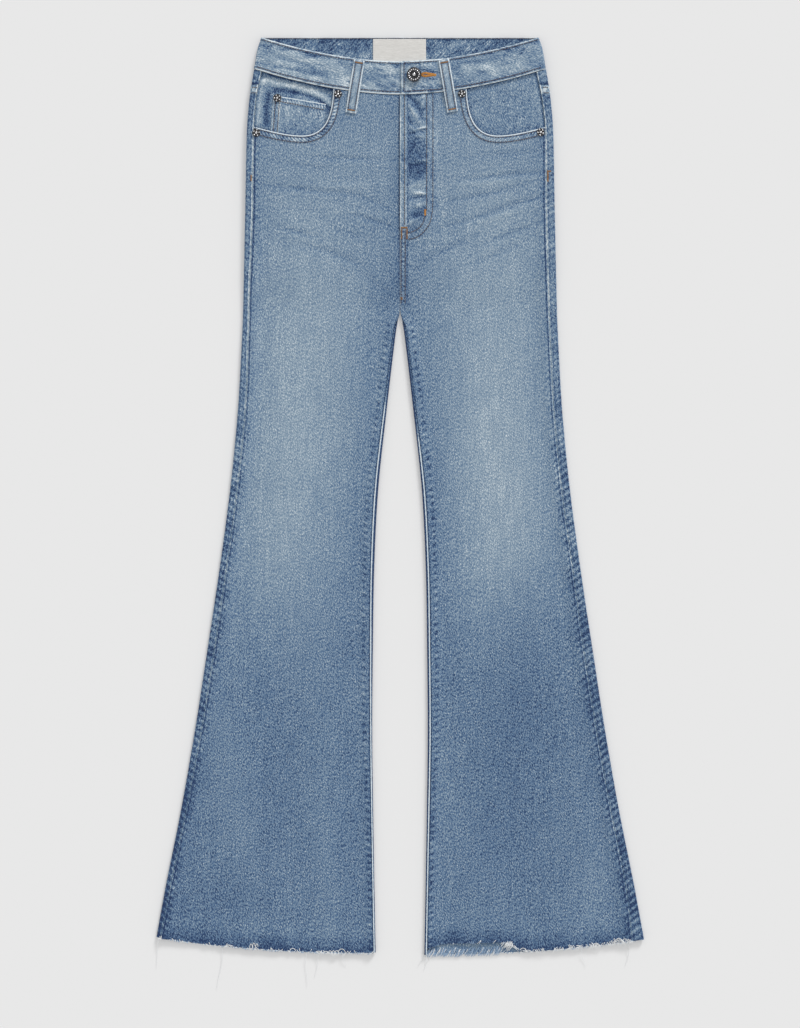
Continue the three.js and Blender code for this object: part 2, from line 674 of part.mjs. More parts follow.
function heightOn(line, x) {
  const next = Math.min(line.length - 1, Math.max(1, line.findIndex(([place]) => place >= x)));
  const [fromX, fromY] = line[next - 1];
  const [toX, toY] = line[next];
  return mix(fromY, toY, (x - fromX) / (toX - fromX));
}

function hemFringe({ leg, front, threads, longest }, salt) {
  const line = hemLine(leg, front);
  const inner = line[0][0] + 1;
  const outer = line[line.length - 1][0] - 1;
  const edgeY = (x) => heightOn(line, x) - 1.5 * SEAM_GAP;
  const pitch = (outer - inner) / threads;
  const upper = [];
  const lower = [];
  for (let index = 0; index < threads; index += 1) {
    const rootX = inner + pitch * (index + 0.5);
    const long = longest.find(({ at }) => Math.floor((at - inner) / pitch) === index);
    const common = FRINGE.shortest + FRINGE.spread * scatter(index, salt) ** FRINGE.spreadPower;
    const length = long ? long.length : common;
    const lean = FRINGE.lean * (scatter(index, salt + 1) - 0.5) * 2;
    const tipX = rootX + lean * FRINGE.tipLean;
    const rootY = edgeY(rootX) - FRINGE.strip;
    upper.push([inner + pitch * index, edgeY(inner + pitch * index)]);
    lower.push([rootX - FRINGE.root, rootY]);
    if (long) lower.push([rootX - FRINGE.root + lean, rootY - length * 0.5]);
    lower.push([tipX - FRINGE.tip, rootY - length]);
    lower.push([tipX + FRINGE.tip, rootY - length]);
    if (long) lower.push([rootX + FRINGE.root * FRINGE.bent + lean, rootY - length * 0.5]);
    lower.push([rootX + FRINGE.root, rootY]);
  }
  upper.push([outer, edgeY(outer)]);
  const ends = [[outer, edgeY(outer) - FRINGE.strip]];
  const start = [[inner, edgeY(inner) - FRINGE.strip]];
  const outline = [...start, ...lower, ...ends, ...upper.reverse()];
  const shape = new THREE.Shape(outline.map(([x, y]) => new THREE.Vector2(x * leg, y)));
  const geometry = new THREE.ExtrudeGeometry(shape, { depth: FRINGE.thick, bevelEnabled: false });
  const place = geometry.attributes.position;
  for (let index = 0; index < place.count; index += 1) {
    const x = Math.abs(place.getX(index));
    const below = edgeY(x) - FRINGE.strip - place.getY(index);
    const root = front ? frontUnderside(leg, x, heightOn(line, x)) + FRINGE.floor : FRINGE.floor;
    const rest = mix(root, FRINGE.floor, smooth(...FRINGE.sinks, below));
    place.setZ(index, place.getZ(index) + rest);
  }
  return geometry;
}

// Finishes
function finish(color, roughness, metalness = 0) {
  return new THREE.MeshStandardMaterial({ color, roughness, metalness });
}

const DENIM = finish(0x6f8fb4, 0.92);
const DENIM_PALE = finish(0x8aa5c2, 0.92);
const DENIM_DEEP = finish(0x4f6f9c, 0.92);
const THREADS = finish(0xd9dde0, 0.95);
const SATIN = finish(0xe4dfd6, 0.55);
const NICKEL = finish(0xb9b9b6, 0.3, 1);
const DARK_NICKEL = finish(0x4a4a4c, 0.32, 1);

const garment = new THREE.Group();

function add(name, geometry, material, position = [0, 0, 0]) {
  const mesh = new THREE.Mesh(geometry, material);
  mesh.name = name;
  mesh.position.set(...position);
  garment.add(mesh);
}

for (const [leg, word] of [[LEFT, "left"], [RIGHT, "right"]]) {
  add(`front_leg_${word}`, frontLeg(leg), DENIM);
  add(`back_leg_${word}`, backLeg(leg), DENIM);
  add(`back_yoke_${word}`, backYoke(leg), DENIM);
  add(`pocket_facing_${word}`, pocketFacing(leg), DENIM_PALE);
  add(`back_pocket_${word}`, backPocket(leg), DENIM_PALE);
}
add("waistband", waistband(), DENIM_PALE);
add("coin_pocket", coinPocket(), DENIM_PALE);
add("waist_label", waistLabel(), SATIN);
for (const loop of FRONT_LOOPS) add(loop.name, frontLoop(loop), DENIM_PALE);
for (const loop of BACK_LOOPS) add(loop.name, backLoop(loop), DENIM_DEEP);
for (const { name, x, y, on } of RIVETS) {
  add(name, turned(RIVET_PROFILE, RIVET_SIDES), NICKEL, [x, y, on + SEAM_GAP]);
}
add("waist_button", turned(BUTTON_PROFILE, BUTTON_SIDES), DARK_NICKEL, [BUTTON.x, BUTTON.y, BUTTON.z]);
FRINGES.forEach((fringe, salt) => add(fringe.name, hemFringe(fringe, salt * 3), THREADS));

// The origin is the centre of the footprint, on the table
const footprint = new THREE.Box3().setFromObject(garment).getCenter(new THREE.Vector3());
garment.position.set(-footprint.x, -footprint.y, 0);

const part = new THREE.Group();
part.add(garment);
export default part;
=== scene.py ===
# %% [markdown]
# # Flared jeans, laid flat
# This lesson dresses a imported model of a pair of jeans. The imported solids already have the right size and
# place: each sewn piece is one plain wall of cloth. Here every wall gets a fine shell with its seams,
# puckers and wash, and then the stitches, the metal and the frayed hems are added. The frame is loaded
# first, because everything that follows is placed against it.

# %% Load the frame
import math

import bpy
import numpy as np
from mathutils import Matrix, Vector
from mathutils.bvhtree import BVHTree


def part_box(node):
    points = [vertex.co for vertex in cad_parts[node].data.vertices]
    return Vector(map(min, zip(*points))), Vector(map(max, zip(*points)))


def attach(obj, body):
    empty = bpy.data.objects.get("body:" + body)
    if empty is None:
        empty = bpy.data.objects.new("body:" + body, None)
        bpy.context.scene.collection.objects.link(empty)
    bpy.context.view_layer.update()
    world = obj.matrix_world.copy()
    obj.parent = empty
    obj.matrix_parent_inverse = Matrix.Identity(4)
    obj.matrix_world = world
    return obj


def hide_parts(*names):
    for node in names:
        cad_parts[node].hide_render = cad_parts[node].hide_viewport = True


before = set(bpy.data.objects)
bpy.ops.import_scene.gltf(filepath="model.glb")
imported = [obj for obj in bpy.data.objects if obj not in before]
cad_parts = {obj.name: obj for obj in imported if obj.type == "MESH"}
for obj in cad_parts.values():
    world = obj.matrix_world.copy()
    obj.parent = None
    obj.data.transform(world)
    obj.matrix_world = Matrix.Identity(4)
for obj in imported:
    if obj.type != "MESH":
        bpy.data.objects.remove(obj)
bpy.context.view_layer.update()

# %% [markdown]
# ## The garment's own lines
# A tailor measures from the centre front and from the hem. The lesson does the same, in millimetres: x is
# the distance across from the centre line, y is the height above the hem and z is the height above the
# table. The waist button is at a known place on those lines, so its solid tells where the lines lie in the
# frame.

# %% From the garment's millimetres to the frame's metres
MM = 0.001
LEFT, RIGHT = -1, 1
BUTTON = {"x": 16.8, "y": 1055.5}

button_low, button_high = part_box("waist_button")
shift_x = BUTTON["x"] * MM - (button_low[0] + button_high[0]) / 2
shift_y = BUTTON["y"] * MM - (button_low[1] + button_high[1]) / 2


def in_frame(points):
    """Points on the garment's lines, in millimetres, as points of the frame, in metres."""
    points = np.asarray(points, float) * MM
    return points - np.array((shift_x, shift_y, 0.0))


print("The centre front lies at x =", round(-shift_x, 6), "and the hem line at y =", round(-shift_y, 6))

# %% [markdown]
# ## Widths at each level
# A flared leg is described by a few levels: how far the side seam fold and the inseam fold are from the
# centre, and how far the back panel comes round to the front at each of them. A smooth curve through the
# levels gives every width between them, so one short table shapes the whole leg.

# %% Levels of the half garment, in millimetres
LEVEL_NAMES = ("y", "side", "inner", "lap_left", "lap_right", "tuck_left", "tuck_right")
LEVEL_ROWS = (
    (0, 296.5, 29.2, 4.8, 15.6, 2.6, 3.4),  # hem
    (78, 282.4, 30.7, 5.5, 10.5, 2.6, 3.2),  # low calf
    (174, 263.2, 32.3, 6.2, 10, 2.6, 3.4),  # calf
    (270, 246.4, 33.4, 7.5, 10.5, 2.7, 3.8),  # high calf
    (366, 231.6, 32.6, 8.2, 11, 3.6, 3.9),  # below the knee
    (462, 217.2, 31, 8, 9.5, 4.3, 4),  # knee
    (558, 204.4, 26.2, 8.2, 10, 4.4, 3.9),  # above the knee
    (654, 195, 16, 8.6, 10, 3.8, 3),  # thigh
    (750, 189.6, 4.6, 7, 9.6, 2.8, 2.8),  # high thigh
    (777.6, 188.6, 0, 6.6, 9.7, 2.8, 2.8),  # crotch
    (894, 186, 0, 8.4, 10.4, 2.8, 2.8),  # hip
    (990, 184, 0, 8, 9.2, 2.8, 2.8),  # pocket
    (1030.8, 180.6, 0, 8, 10.5, 2.8, 2.8),  # high hip
    (1062, 175.6, 0, 9.5, 12, 2.8, 2.8),  # waist seam
    (1088, 171, 0, 9.5, 12, 2.8, 2.8),  # waist
    (1101.6, 166.6, 0, 9.5, 12, 2.8, 2.8),  # waist top
)


def mix(a, b, share):
    return a + (b - a) * share


def smooth(low, high, value):
    share = np.clip((value - low) / (high - low), 0, 1)
    return share * share * (3 - 2 * share)


def curve_through(at, values):
    """A function of height on a smooth curve through the points. It is level where the values turn back."""
    at, values = np.array(at, float), np.array(values, float)
    index = np.arange(len(at))
    before, after = np.maximum(index - 1, 0), np.minimum(index + 1, len(at) - 1)
    slope = (values[after] - values[before]) / (at[after] - at[before])
    turns = (values[after] - values) * (values - values[before]) <= 0
    slope[1:-1][turns[1:-1]] = 0

    def value_at(height):
        height = np.clip(height, at[0], at[-1])
        row = np.clip(np.searchsorted(at, height, side="right") - 1, 0, len(at) - 2)
        span = at[row + 1] - at[row]
        t = (height - at[row]) / span
        rest = 1 - t
        from_row = values[row] * (1 + 2 * t) + slope[row] * span * t
        to_row = values[row + 1] * (3 - 2 * t) - slope[row + 1] * span * rest
        return from_row * rest * rest + to_row * t * t

    return value_at


level_columns = list(zip(*LEVEL_ROWS))
section = {
    name: curve_through(level_columns[0], column)
    for name, column in zip(LEVEL_NAMES[1:], level_columns[1:])
}
KNEE = 462
knee_width = section["side"](KNEE) - section["inner"](KNEE)
print("Width of a leg at the knee, flat:", round(float(knee_width), 1), "mm")

# %% [markdown]
# ## Seam lines and heights
# The waist dips at the centre front and runs straight across the back, the yoke seam makes a V on the seat,
# and the raw hems curve. The cloth lies in layers: the back on the table, the front on the back, and the
# seams hold the front up a little. These short functions repeat the construction of the solids, so that the
# fine shells land exactly on them.

# %% Seam lines and heights of the layers
CLOTH = 1.2  # one layer of denim
BAND = 2.4  # the waistband's two layers
SEAM_GAP = 0.3
FORK = 777.6
FOLD_OPENS = 748
YOKE_SIDE, YOKE_CENTRE = 1044.6, 985
YOKE_FELL = 12.4  # width of the felled seam under the yoke
TUCK_SHOWS = {LEFT: 664, RIGHT: 624}  # below this height the inseam's edge is worn to a white line
WAIST_SEAM_SIDE, WAIST_SEAM_FRONT = 1063.6, 1032.6
WAIST_TOP, WAIST_TOP_FRONT = 1101.6, 1072.2
WAIST_HALF = 168
DIP_POWER = 1.8
HIP_LIFT, LEG_LOFT, HIP_LOFT = 1.8, 1.7, 3.0
FRONT_BAND_Z = 4.2 + HIP_LIFT
OVERLAP_STEP = BAND + SEAM_GAP
OVERLAP_EDGE, OVERLAP_END, OVERLAP_FADE = 1.8, 34, 46
HEM_RISE, HEM_INNER, HEM_SPAN, HEM_POWER = 18.6, 30, 263, 2.2
PLACKET_LIFT = 1.9

FOLD_ROWS = {  # soft folds: x, y, half width, half length, turn in degrees, height
    LEFT: (
        (62, 690, 26, 120, 14, 1.1),
        (128, 600, 30, 150, -6, 0.9),
        (96, 350, 34, 170, 4, 1.0),
        (196, 190, 32, 150, 10, 1.2),
        (84, 96, 24, 90, 2, 1.3),
    ),
    RIGHT: (
        (70, 670, 28, 130, 12, 1.0),
        (140, 560, 30, 150, -4, 1.0),
        (120, 300, 34, 180, 8, 0.9),
        (214, 170, 30, 130, 11, 1.1),
        (96, 70, 30, 80, -3, 1.6),
    ),
}


def patches(rows, x, y):
    """Soft oval patches added up. Each row: x, y, half width, half length, turn in degrees, strength."""
    total = np.zeros(np.broadcast(x, y).shape)
    for at_x, at_y, width, length, turn, strength in rows:
        angle = math.radians(turn)
        across = ((x - at_x) * math.cos(angle) - (y - at_y) * math.sin(angle)) / width
        along = ((x - at_x) * math.sin(angle) + (y - at_y) * math.cos(angle)) / length
        total += strength * np.exp(-across * across - along * along)
    return total


def waist_seam(x):
    reach = np.minimum(1, np.abs(x) / section["side"](WAIST_SEAM_SIDE))
    return mix(WAIST_SEAM_FRONT, WAIST_SEAM_SIDE, reach**DIP_POWER)


def waist_top(x):
    return mix(WAIST_TOP_FRONT, WAIST_TOP, np.minimum(1, np.abs(x) / WAIST_HALF) ** DIP_POWER)


def yoke_seam(x):
    return mix(YOKE_CENTRE, YOKE_SIDE, np.minimum(1, np.abs(x) / WAIST_HALF))


def hem(x):
    return HEM_RISE * np.clip((np.abs(x) - HEM_INNER) / HEM_SPAN, 0, 1) ** HEM_POWER


def front_hem(leg, x):
    if leg == LEFT:
        return hem(x) + 1.2
    notch = smooth(0, 60, x) * (1 - smooth(118, 158, x))
    return hem(x) + 13.5 * notch - 0.8


def back_hem(leg, x):
    return hem(x) + (2.4 if leg == LEFT else -0.6)


def side_of(leg, name):
    return section[name + ("_left" if leg == LEFT else "_right")]


def lift(y):
    return HIP_LIFT * smooth(770, 825, y)


def seam_loft(y):
    return mix(LEG_LOFT, HIP_LOFT, smooth(800, 965, y))


def fold_height(y):
    return 2 * CLOTH + SEAM_GAP + seam_loft(y)


def folded_share(y):
    return 1 - smooth(FOLD_OPENS, FORK, y)


def front_edges(leg, y):
    folded = folded_share(y)
    outer = section["side"](y) - side_of(leg, "lap")(y) - SEAM_GAP
    inner = section["inner"](y) + side_of(leg, "tuck")(y) * folded + SEAM_GAP * mix(0.5, 1, folded)
    return outer, inner


def front_height(leg, x, row):
    dip = (waist_seam(x) - SEAM_GAP - WAIST_SEAM_SIDE) * smooth(935, WAIST_SEAM_SIDE, row)
    return row + dip + front_hem(leg, x) * (1 - smooth(0, 90, row))


def front_top(leg, x, y):
    """Height of the upper face of a front panel above the table."""
    outer, inner = front_edges(leg, y)
    near_side = 1 - smooth(0, 20, outer - x)
    near_inseam = (1 - smooth(0, 16, x - inner)) * folded_share(y)
    middle = mix(patches(FOLD_ROWS[leg], x, y), HIP_LOFT, smooth(800, 965, y))
    loft = mix(middle, seam_loft(y), np.maximum(near_side, near_inseam))
    if leg == RIGHT:
        at_fly = (1 - smooth(OVERLAP_END, OVERLAP_FADE, x)) * smooth(845, 885, y)
        loft = loft + PLACKET_LIFT * at_fly
    return lift(y) + 2 * CLOTH + SEAM_GAP + loft


print("Leg opening, flat:", round(float(section["side"](0) - section["inner"](0)), 1), "mm")

# %% [markdown]
# ## Unevenness that repeats each run
# Worn denim is never regular: seams rope up in uneven blotches and puckers. A small noise gives that
# unevenness, and because it is worked out from the place alone, the same jeans come out on every run.

# %% Small noises for puckers and blotches


def scatter(index, salt=0.0):
    """A repeatable number between 0 and 1 for each index."""
    wave = np.sin(np.asarray(index, float) * 12.9898 + salt * 78.233) * 43758.5453
    return wave - np.floor(wave)


def uneven(along, spacing, salt):
    """A soft wave from -1 to 1 whose hills are about two spacings apart."""
    place = np.asarray(along, float) / spacing
    step = np.floor(place)
    share = smooth(0, 1, place - step)
    return 2 * mix(scatter(step, salt), scatter(step + 1, salt), share) - 1


def uneven_area(u, v, salt):
    """The same over an area, for blotches about two units across."""
    column, row = np.floor(u), np.floor(v)
    across, up = smooth(0, 1, u - column), smooth(0, 1, v - row)

    def corner(c, r):
        return scatter(c * 1.7 + r * 57.3, salt)

    low = mix(corner(column, row), corner(column + 1, row), across)
    high = mix(corner(column, row + 1), corner(column + 1, row + 1), across)
    return 2 * mix(low, high, up) - 1


def dashes(along, pitch, salt):
    """Marks from -1 to 1 that follow each other at an uneven pitch, as puckers do along a seam."""
    return np.tanh(1.8 * np.sin(2 * np.pi * along / pitch + 1.5 * uneven(along, 2.3 * pitch, salt)))


def line(value, middle, width):
    """A soft line: 1 on its middle and 0 a few widths away."""
    return np.exp(-(((value - middle) / width) ** 2))


def spaced(count, closeness=0.8):
    """Shares from 0 to 1 that lie closer together at both ends, where the seams are."""
    t = np.linspace(0, 1, count)
    return t - closeness * np.sin(2 * np.pi * t) / (2 * np.pi)


# %% [markdown]
# ## From a grid of points to a piece of cloth
# Each piece starts as a grid of points on its outer face, with a number for how worn the dye is at each
# point; painted shade and a few painted highlights are added into the same number. Blender's Solidify
# modifier then gives it the cloth's thickness, inwards, so the outer face stays where it was put. The
# modifier is applied at once, so that folded and cut edges can be marked sharp by their angle.

# %% Mesh helpers
ROOT = "root"
made_triangles = {}


def grid_faces(rows, columns, first=0):
    corner = first + np.arange(rows - 1)[:, None] * columns + np.arange(columns - 1)[None, :]
    quads = np.stack((corner, corner + 1, corner + columns + 1, corner + columns), axis=-1)
    return quads.reshape(-1, 4)


def new_object(name, points, faces, materials, wear_and_shade=None, finishes=None):
    """An object on the garment's lines. finishes has the number of each face's material, 0 if left out."""
    mesh = bpy.data.meshes.new(name)
    mesh.from_pydata(in_frame(points).tolist(), [], faces)
    for material in materials:
        mesh.materials.append(material)
    if finishes is not None:
        mesh.polygons.foreach_set("material_index", finishes)
    if wear_and_shade is not None:
        layer = mesh.attributes.new("wear_and_shade", "FLOAT", "POINT")
        layer.data.foreach_set("value", np.asarray(wear_and_shade, np.float32).ravel())
    mesh.shade_smooth()
    piece = bpy.data.objects.new(name, mesh)
    bpy.context.scene.collection.objects.link(piece)
    return piece


def settle(piece, nodes):
    """Applies the modifiers, marks hard edges, and ties the piece to the frame."""
    evaluated = piece.evaluated_get(bpy.context.evaluated_depsgraph_get())
    mesh = bpy.data.meshes.new_from_object(evaluated)
    piece.modifiers.clear()
    piece.data = mesh
    mesh.set_sharp_from_angle(angle=math.radians(50))
    mesh.calc_loop_triangles()
    made_triangles[piece.name] = len(mesh.loop_triangles)
    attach(piece, ROOT)
    if nodes:
        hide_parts(*nodes)
    print(f"{piece.name}: {made_triangles[piece.name]} triangles")
    return piece


def face_up(points, faces):
    """The faces, turned over if the first of them looks down."""
    a, b, c = (points[index] for index in faces[0][:3])
    return [face[::-1] for face in faces] if np.cross(b - a, c - a)[2] < 0 else faces


def whole_sheet(x, y, z, wear_and_shade):
    """A sheet of cloth over a whole grid of places."""
    points = np.stack(np.broadcast_arrays(x, y, z), axis=-1).reshape(-1, 3).astype(float)
    rows, columns = np.broadcast(x, y).shape
    faces = grid_faces(rows, columns).tolist()
    return points, face_up(points, faces), np.broadcast_to(wear_and_shade, (rows, columns)).reshape(-1)


def cloth_shell(name, sheets, materials, thickness, nodes):
    """One sewn piece from one or more sheets: points, faces and each point's number for wear and painted
    shade.
    """
    points, wear_and_shade, faces, first = [], [], [], 0
    for sheet_points, sheet_faces, sheet_wear_and_shade in sheets:
        points.append(sheet_points)
        wear_and_shade.append(sheet_wear_and_shade)
        faces += [[first + corner for corner in face] for face in sheet_faces]
        first += len(sheet_points)
    piece = new_object(name, np.concatenate(points), faces, materials, np.concatenate(wear_and_shade))
    solidify = piece.modifiers.new("cloth thickness", "SOLIDIFY")
    solidify.thickness = thickness * MM
    solidify.offset = -1
    solidify.material_offset = len(materials) - 1
    return settle(piece, nodes)


def node_cloth(node, sheet, materials, thickness):
    """A piece of one sheet that takes the place and the name of one node."""
    return cloth_shell(node + "_cloth", [sheet], materials, thickness, [node])


# %% [markdown]
# ## Denim as a material
# Denim is woven from indigo warp and white weft. Washing rubs the dye off the high threads, so its colour
# runs from deep blue through grey-blue to nearly white, and every mark on it is a step along that one
# scale. The material follows this: a colour ramp holds the scale, the number stored at each point says how
# worn the cloth is there, with painted shade and painted highlights added into it, and noises in the shape
# of slubs, warp streaks and clouds push it up and down.
# The same slubs and the fine twill drive the bump. The noises read the object's own coordinates, so they
# run on across the seams.

# %% Colours and shader helpers


def linear(red, green, blue):
    """An sRGB colour from 0 to 255, as the linear numbers that shaders use."""
    shares = [value / 255 for value in (red, green, blue)]
    return (*[s / 12.92 if s < 0.04045 else ((s + 0.055) / 1.055) ** 2.4 for s in shares], 1.0)


DYE_SCALE = (  # how worn, with painted shade and highlights on the same scale, and the colour there
    (0.0, linear(32, 54, 92)),
    (0.25, linear(70, 99, 134)),
    (0.5, linear(101, 126, 153)),
    (0.75, linear(137, 157, 174)),
    (0.9, linear(170, 185, 196)),
    (1.0, linear(214, 223, 228)),
)
NOISE_DEPTH = 4.0  # millimetres through the cloth over which a noise changes


class Shader:
    """A material whose nodes are added one after another."""

    def __init__(self, name):
        self.material = bpy.data.materials.new(name)
        self.material.use_nodes = True
        self.tree = self.material.node_tree
        self.tree.nodes.clear()
        self.place = self.add("ShaderNodeTexCoord").outputs["Object"]

    def add(self, kind, inputs=None, **settings):
        made = self.tree.nodes.new(kind)
        for setting, value in settings.items():
            setattr(made, setting, value)
        for socket, value in (inputs or {}).items():
            if isinstance(value, bpy.types.NodeSocket):
                self.tree.links.new(value, made.inputs[socket])
            else:
                made.inputs[socket].default_value = value
        return made

    def stretched(self, width, length, turn=0.0):
        """Coordinates in units of width across and length along a grain that is turned from upright."""
        inputs = {
            "Vector": self.place,
            "Rotation": (0, 0, math.radians(turn)),
            "Scale": (width * MM, length * MM, NOISE_DEPTH * MM),
        }
        return self.add("ShaderNodeMapping", inputs, vector_type="TEXTURE").outputs["Vector"]

    def noise(self, width, length, turn=0.0, detail=1.0):
        inputs = {"Vector": self.stretched(width, length, turn), "Scale": 1.0, "Detail": detail}
        return self.add("ShaderNodeTexNoise", inputs).outputs["Fac"]

    def slubs(self, width, length, turn=0.0):
        """Evenly scattered short streaks: 0 on a streak's middle and about 1 between them."""
        inputs = {"Vector": self.stretched(width, length, turn), "Scale": 1.0}
        made = self.add("ShaderNodeTexVoronoi", inputs, voronoi_dimensions="2D", feature="F1")
        return made.outputs["Distance"]

    def bands(self, pitch, turn, wobble=0.0):
        scale = math.pi / 10  # with this scale the wave texture has one band for each unit
        inputs = {"Vector": self.stretched(pitch, pitch, turn), "Scale": scale, "Distortion": wobble}
        return self.add("ShaderNodeTexWave", inputs, wave_type="BANDS").outputs["Fac"]

    def maths(self, operation, *values):
        return self.add("ShaderNodeMath", dict(enumerate(values)), operation=operation).outputs[0]

    def ramp(self, value, stops):
        made = self.add("ShaderNodeValToRGB", {"Fac": value})
        elements = made.color_ramp.elements
        while len(elements) < len(stops):
            elements.new(0.5)
        for element, (position, colour) in zip(elements, stops):
            element.position = position
            element.color = colour
        return made.outputs["Color"]

    def bump(self, height, distance):
        inputs = {"Height": height, "Distance": distance * MM, "Strength": 1.0}
        return self.add("ShaderNodeBump", inputs).outputs["Normal"]

    def surface(self, **inputs):
        sockets = {name.replace("_", " "): value for name, value in inputs.items()}
        made = self.add("ShaderNodeBsdfPrincipled", sockets)
        self.add("ShaderNodeOutputMaterial", {"Surface": made.outputs["BSDF"]})
        return self.material


# %% Denim finishes
SLUB_TURN = 20  # the slubs lean with the twill
SLUB_REACH = 0.6  # beyond this distance from a slub's middle the cloth is even
SLUB_MIDDLE = 0.4  # mean distance from the middle of a slub


def denim(name, lighter=0.0, slub=1.0, grain=0.8, streak=0.2, streak_size=(2.2, 60), cloud=0.14, turn=0.0):
    """Washed denim. lighter moves it along the dye scale, and turn is the grain's turn from upright."""
    shader = Shader(name)
    wear_and_shade = shader.add("ShaderNodeAttribute", attribute_name="wear_and_shade").outputs["Fac"]
    slubs = shader.maths("MINIMUM", shader.slubs(1.25, 3.0, SLUB_TURN + turn), SLUB_REACH)
    grains = shader.noise(0.8, 2.0, SLUB_TURN / 2 + turn, detail=0.0)
    streaks = shader.noise(*streak_size, turn)
    clouds = shader.noise(16, 26, turn, detail=2.0)
    texture = shader.maths("MULTIPLY_ADD", slubs, -slub, SLUB_MIDDLE * slub - grain / 2)
    texture = shader.maths("MULTIPLY_ADD", grains, grain, texture)
    contrast = shader.maths("MAXIMUM", shader.maths("MULTIPLY_ADD", wear_and_shade, -1.6, 1.75), 0.36)
    contrast = shader.maths("MINIMUM", contrast, 1.05)
    value = shader.maths("MULTIPLY_ADD", texture, contrast, wear_and_shade)
    value = shader.maths("ADD", value, lighter - (streak + cloud) / 2)
    for noise, weight in ((streaks, streak), (clouds, cloud)):
        value = shader.maths("MULTIPLY_ADD", noise, weight, value)
    colour = shader.ramp(value, DYE_SCALE)
    relief = shader.maths("MULTIPLY_ADD", slubs, -1.0, grains)
    normal = shader.bump(relief, 0.3)
    return shader.surface(
        Base_Color=colour,
        Roughness=0.86,
        Specular_IOR_Level=0.25,
        Sheen_Weight=0.12,
        Sheen_Roughness=0.5,
        Normal=normal,
    )


WASHED_DENIM = denim("washed denim")
WRONG_SIDE = denim("wrong side of the denim", lighter=0.16, slub=0.6)
BAND_DENIM = denim("waistband denim", turn=72, streak=0.46, streak_size=(2.2, 12), cloud=0.4)
BAND_INSIDE = denim("inside of the waistband", turn=-44, streak=1.3, streak_size=(2.0, 12), cloud=0.3)
LOOP_DENIM = denim("belt loop denim", lighter=0.05, slub=0.5, grain=0.6, streak=0.1, cloud=0.2)


def thread(name, colour, dark=0.72):
    """Twisted thread: its plies are fine slanting bands."""
    shader = Shader(name)
    plies = shader.bands(0.45, 35, wobble=0.4)
    shade = shader.noise(2.5, 2.5)
    value = shader.maths("MULTIPLY_ADD", shade, 0.7, shader.maths("MULTIPLY", plies, 0.3))
    deep = tuple(part * dark for part in colour[:3]) + (1.0,)
    tone = shader.ramp(value, ((0.2, deep), (0.8, colour)))
    return shader.surface(
        Base_Color=tone,
        Roughness=0.6,
        Specular_IOR_Level=0.3,
        Normal=shader.bump(plies, 0.12),
    )


TONAL_THREAD = thread("tonal topstitch thread", linear(116, 102, 102), dark=0.4)
RUST_THREAD = thread("rust bartack thread", linear(170, 130, 92), dark=0.5)
ORANGE_THREAD = thread("orange buttonhole thread", linear(206, 146, 74))
FRAY = thread("frayed cotton", linear(240, 242, 243), dark=0.9)
FRAY_BLUE = thread("frayed blue cotton", linear(158, 184, 212), dark=0.8)
print("Materials made:", len(bpy.data.materials))

# %% [markdown]
# ## How worn the legs are
# The wash is the picture on a pair of jeans: pale thighs and knees, darker shins, shade along the inseams,
# and fine whiskers at the hip where the cloth creased. It is built from soft patches: a base tone for each
# height, one long pale patch a leg whose middle and width are curves of height, and small patches and
# whiskers.

# %% Wash tables and the worn number of a panel
TONE = curve_through(
    (0, 60, 160, 290, 380, 470, 600, 760, 880, 960, 1010, 1060),
    (0.44, 0.44, 0.44, 0.45, 0.5, 0.56, 0.59, 0.6, 0.6, 0.61, 0.58, 0.56),
)
PALE_HEIGHTS = (300, 378, 432, 486, 594, 714, 834, 894, 955)
PALE_MIDDLE = {
    LEFT: curve_through(PALE_HEIGHTS, (150, 150, 152, 148, 132, 120, 108, 108, 110)),
    RIGHT: curve_through(PALE_HEIGHTS, (100, 100, 110, 120, 116, 110, 116, 112, 104)),
}
PALE_WIDTH = curve_through(PALE_HEIGHTS, (50, 52, 50, 55, 62, 64, 60, 52, 44))
PALE_STRENGTH = {
    LEFT: curve_through(PALE_HEIGHTS, (0, 0.03, 0.08, 0.13, 0.14, 0.13, 0.09, 0.06, 0.02)),
    RIGHT: curve_through(PALE_HEIGHTS, (0, 0.01, 0.08, 0.16, 0.17, 0.13, 0.09, 0.06, 0.02)),
}
WASH_ROWS = {  # soft patches of the wash: x, y, half width, half length, turn in degrees, strength
    LEFT: (
        (52, 520, 20, 60, 0, -0.01),
        (62, 372, 22, 36, -8, -0.08),
        (150, 240, 30, 140, 8, -0.05),
        (205, 220, 18, 150, 10, 0.05),
        (90, 130, 16, 110, 2, 0.05),
        (60, 140, 20, 90, 0, -0.04),
        (215, 60, 50, 34, 0, -0.08),
        (160, 8, 150, 9, 90, -0.05),
        (12, 790, 20, 14, -10, -0.1),
        (36, 700, 22, 60, 0, -0.02),
        (110, 1000, 60, 22, 0, -0.05),
    ),
    RIGHT: (
        (150, 300, 46, 120, 6, -0.1),
        (62, 330, 26, 60, 0, -0.06),
        (55, 200, 14, 120, 0, 0.05),
        (236, 90, 22, 70, 12, 0.07),
        (160, 60, 120, 30, 90, -0.03),
        (120, 150, 40, 120, 0, -0.04),
        (36, 560, 16, 90, 0, -0.06),
        (66, 640, 14, 60, 8, -0.04),
        (56, 720, 22, 50, 10, -0.03),
        (110, 900, 70, 40, 0, 0.03),
    ),
}
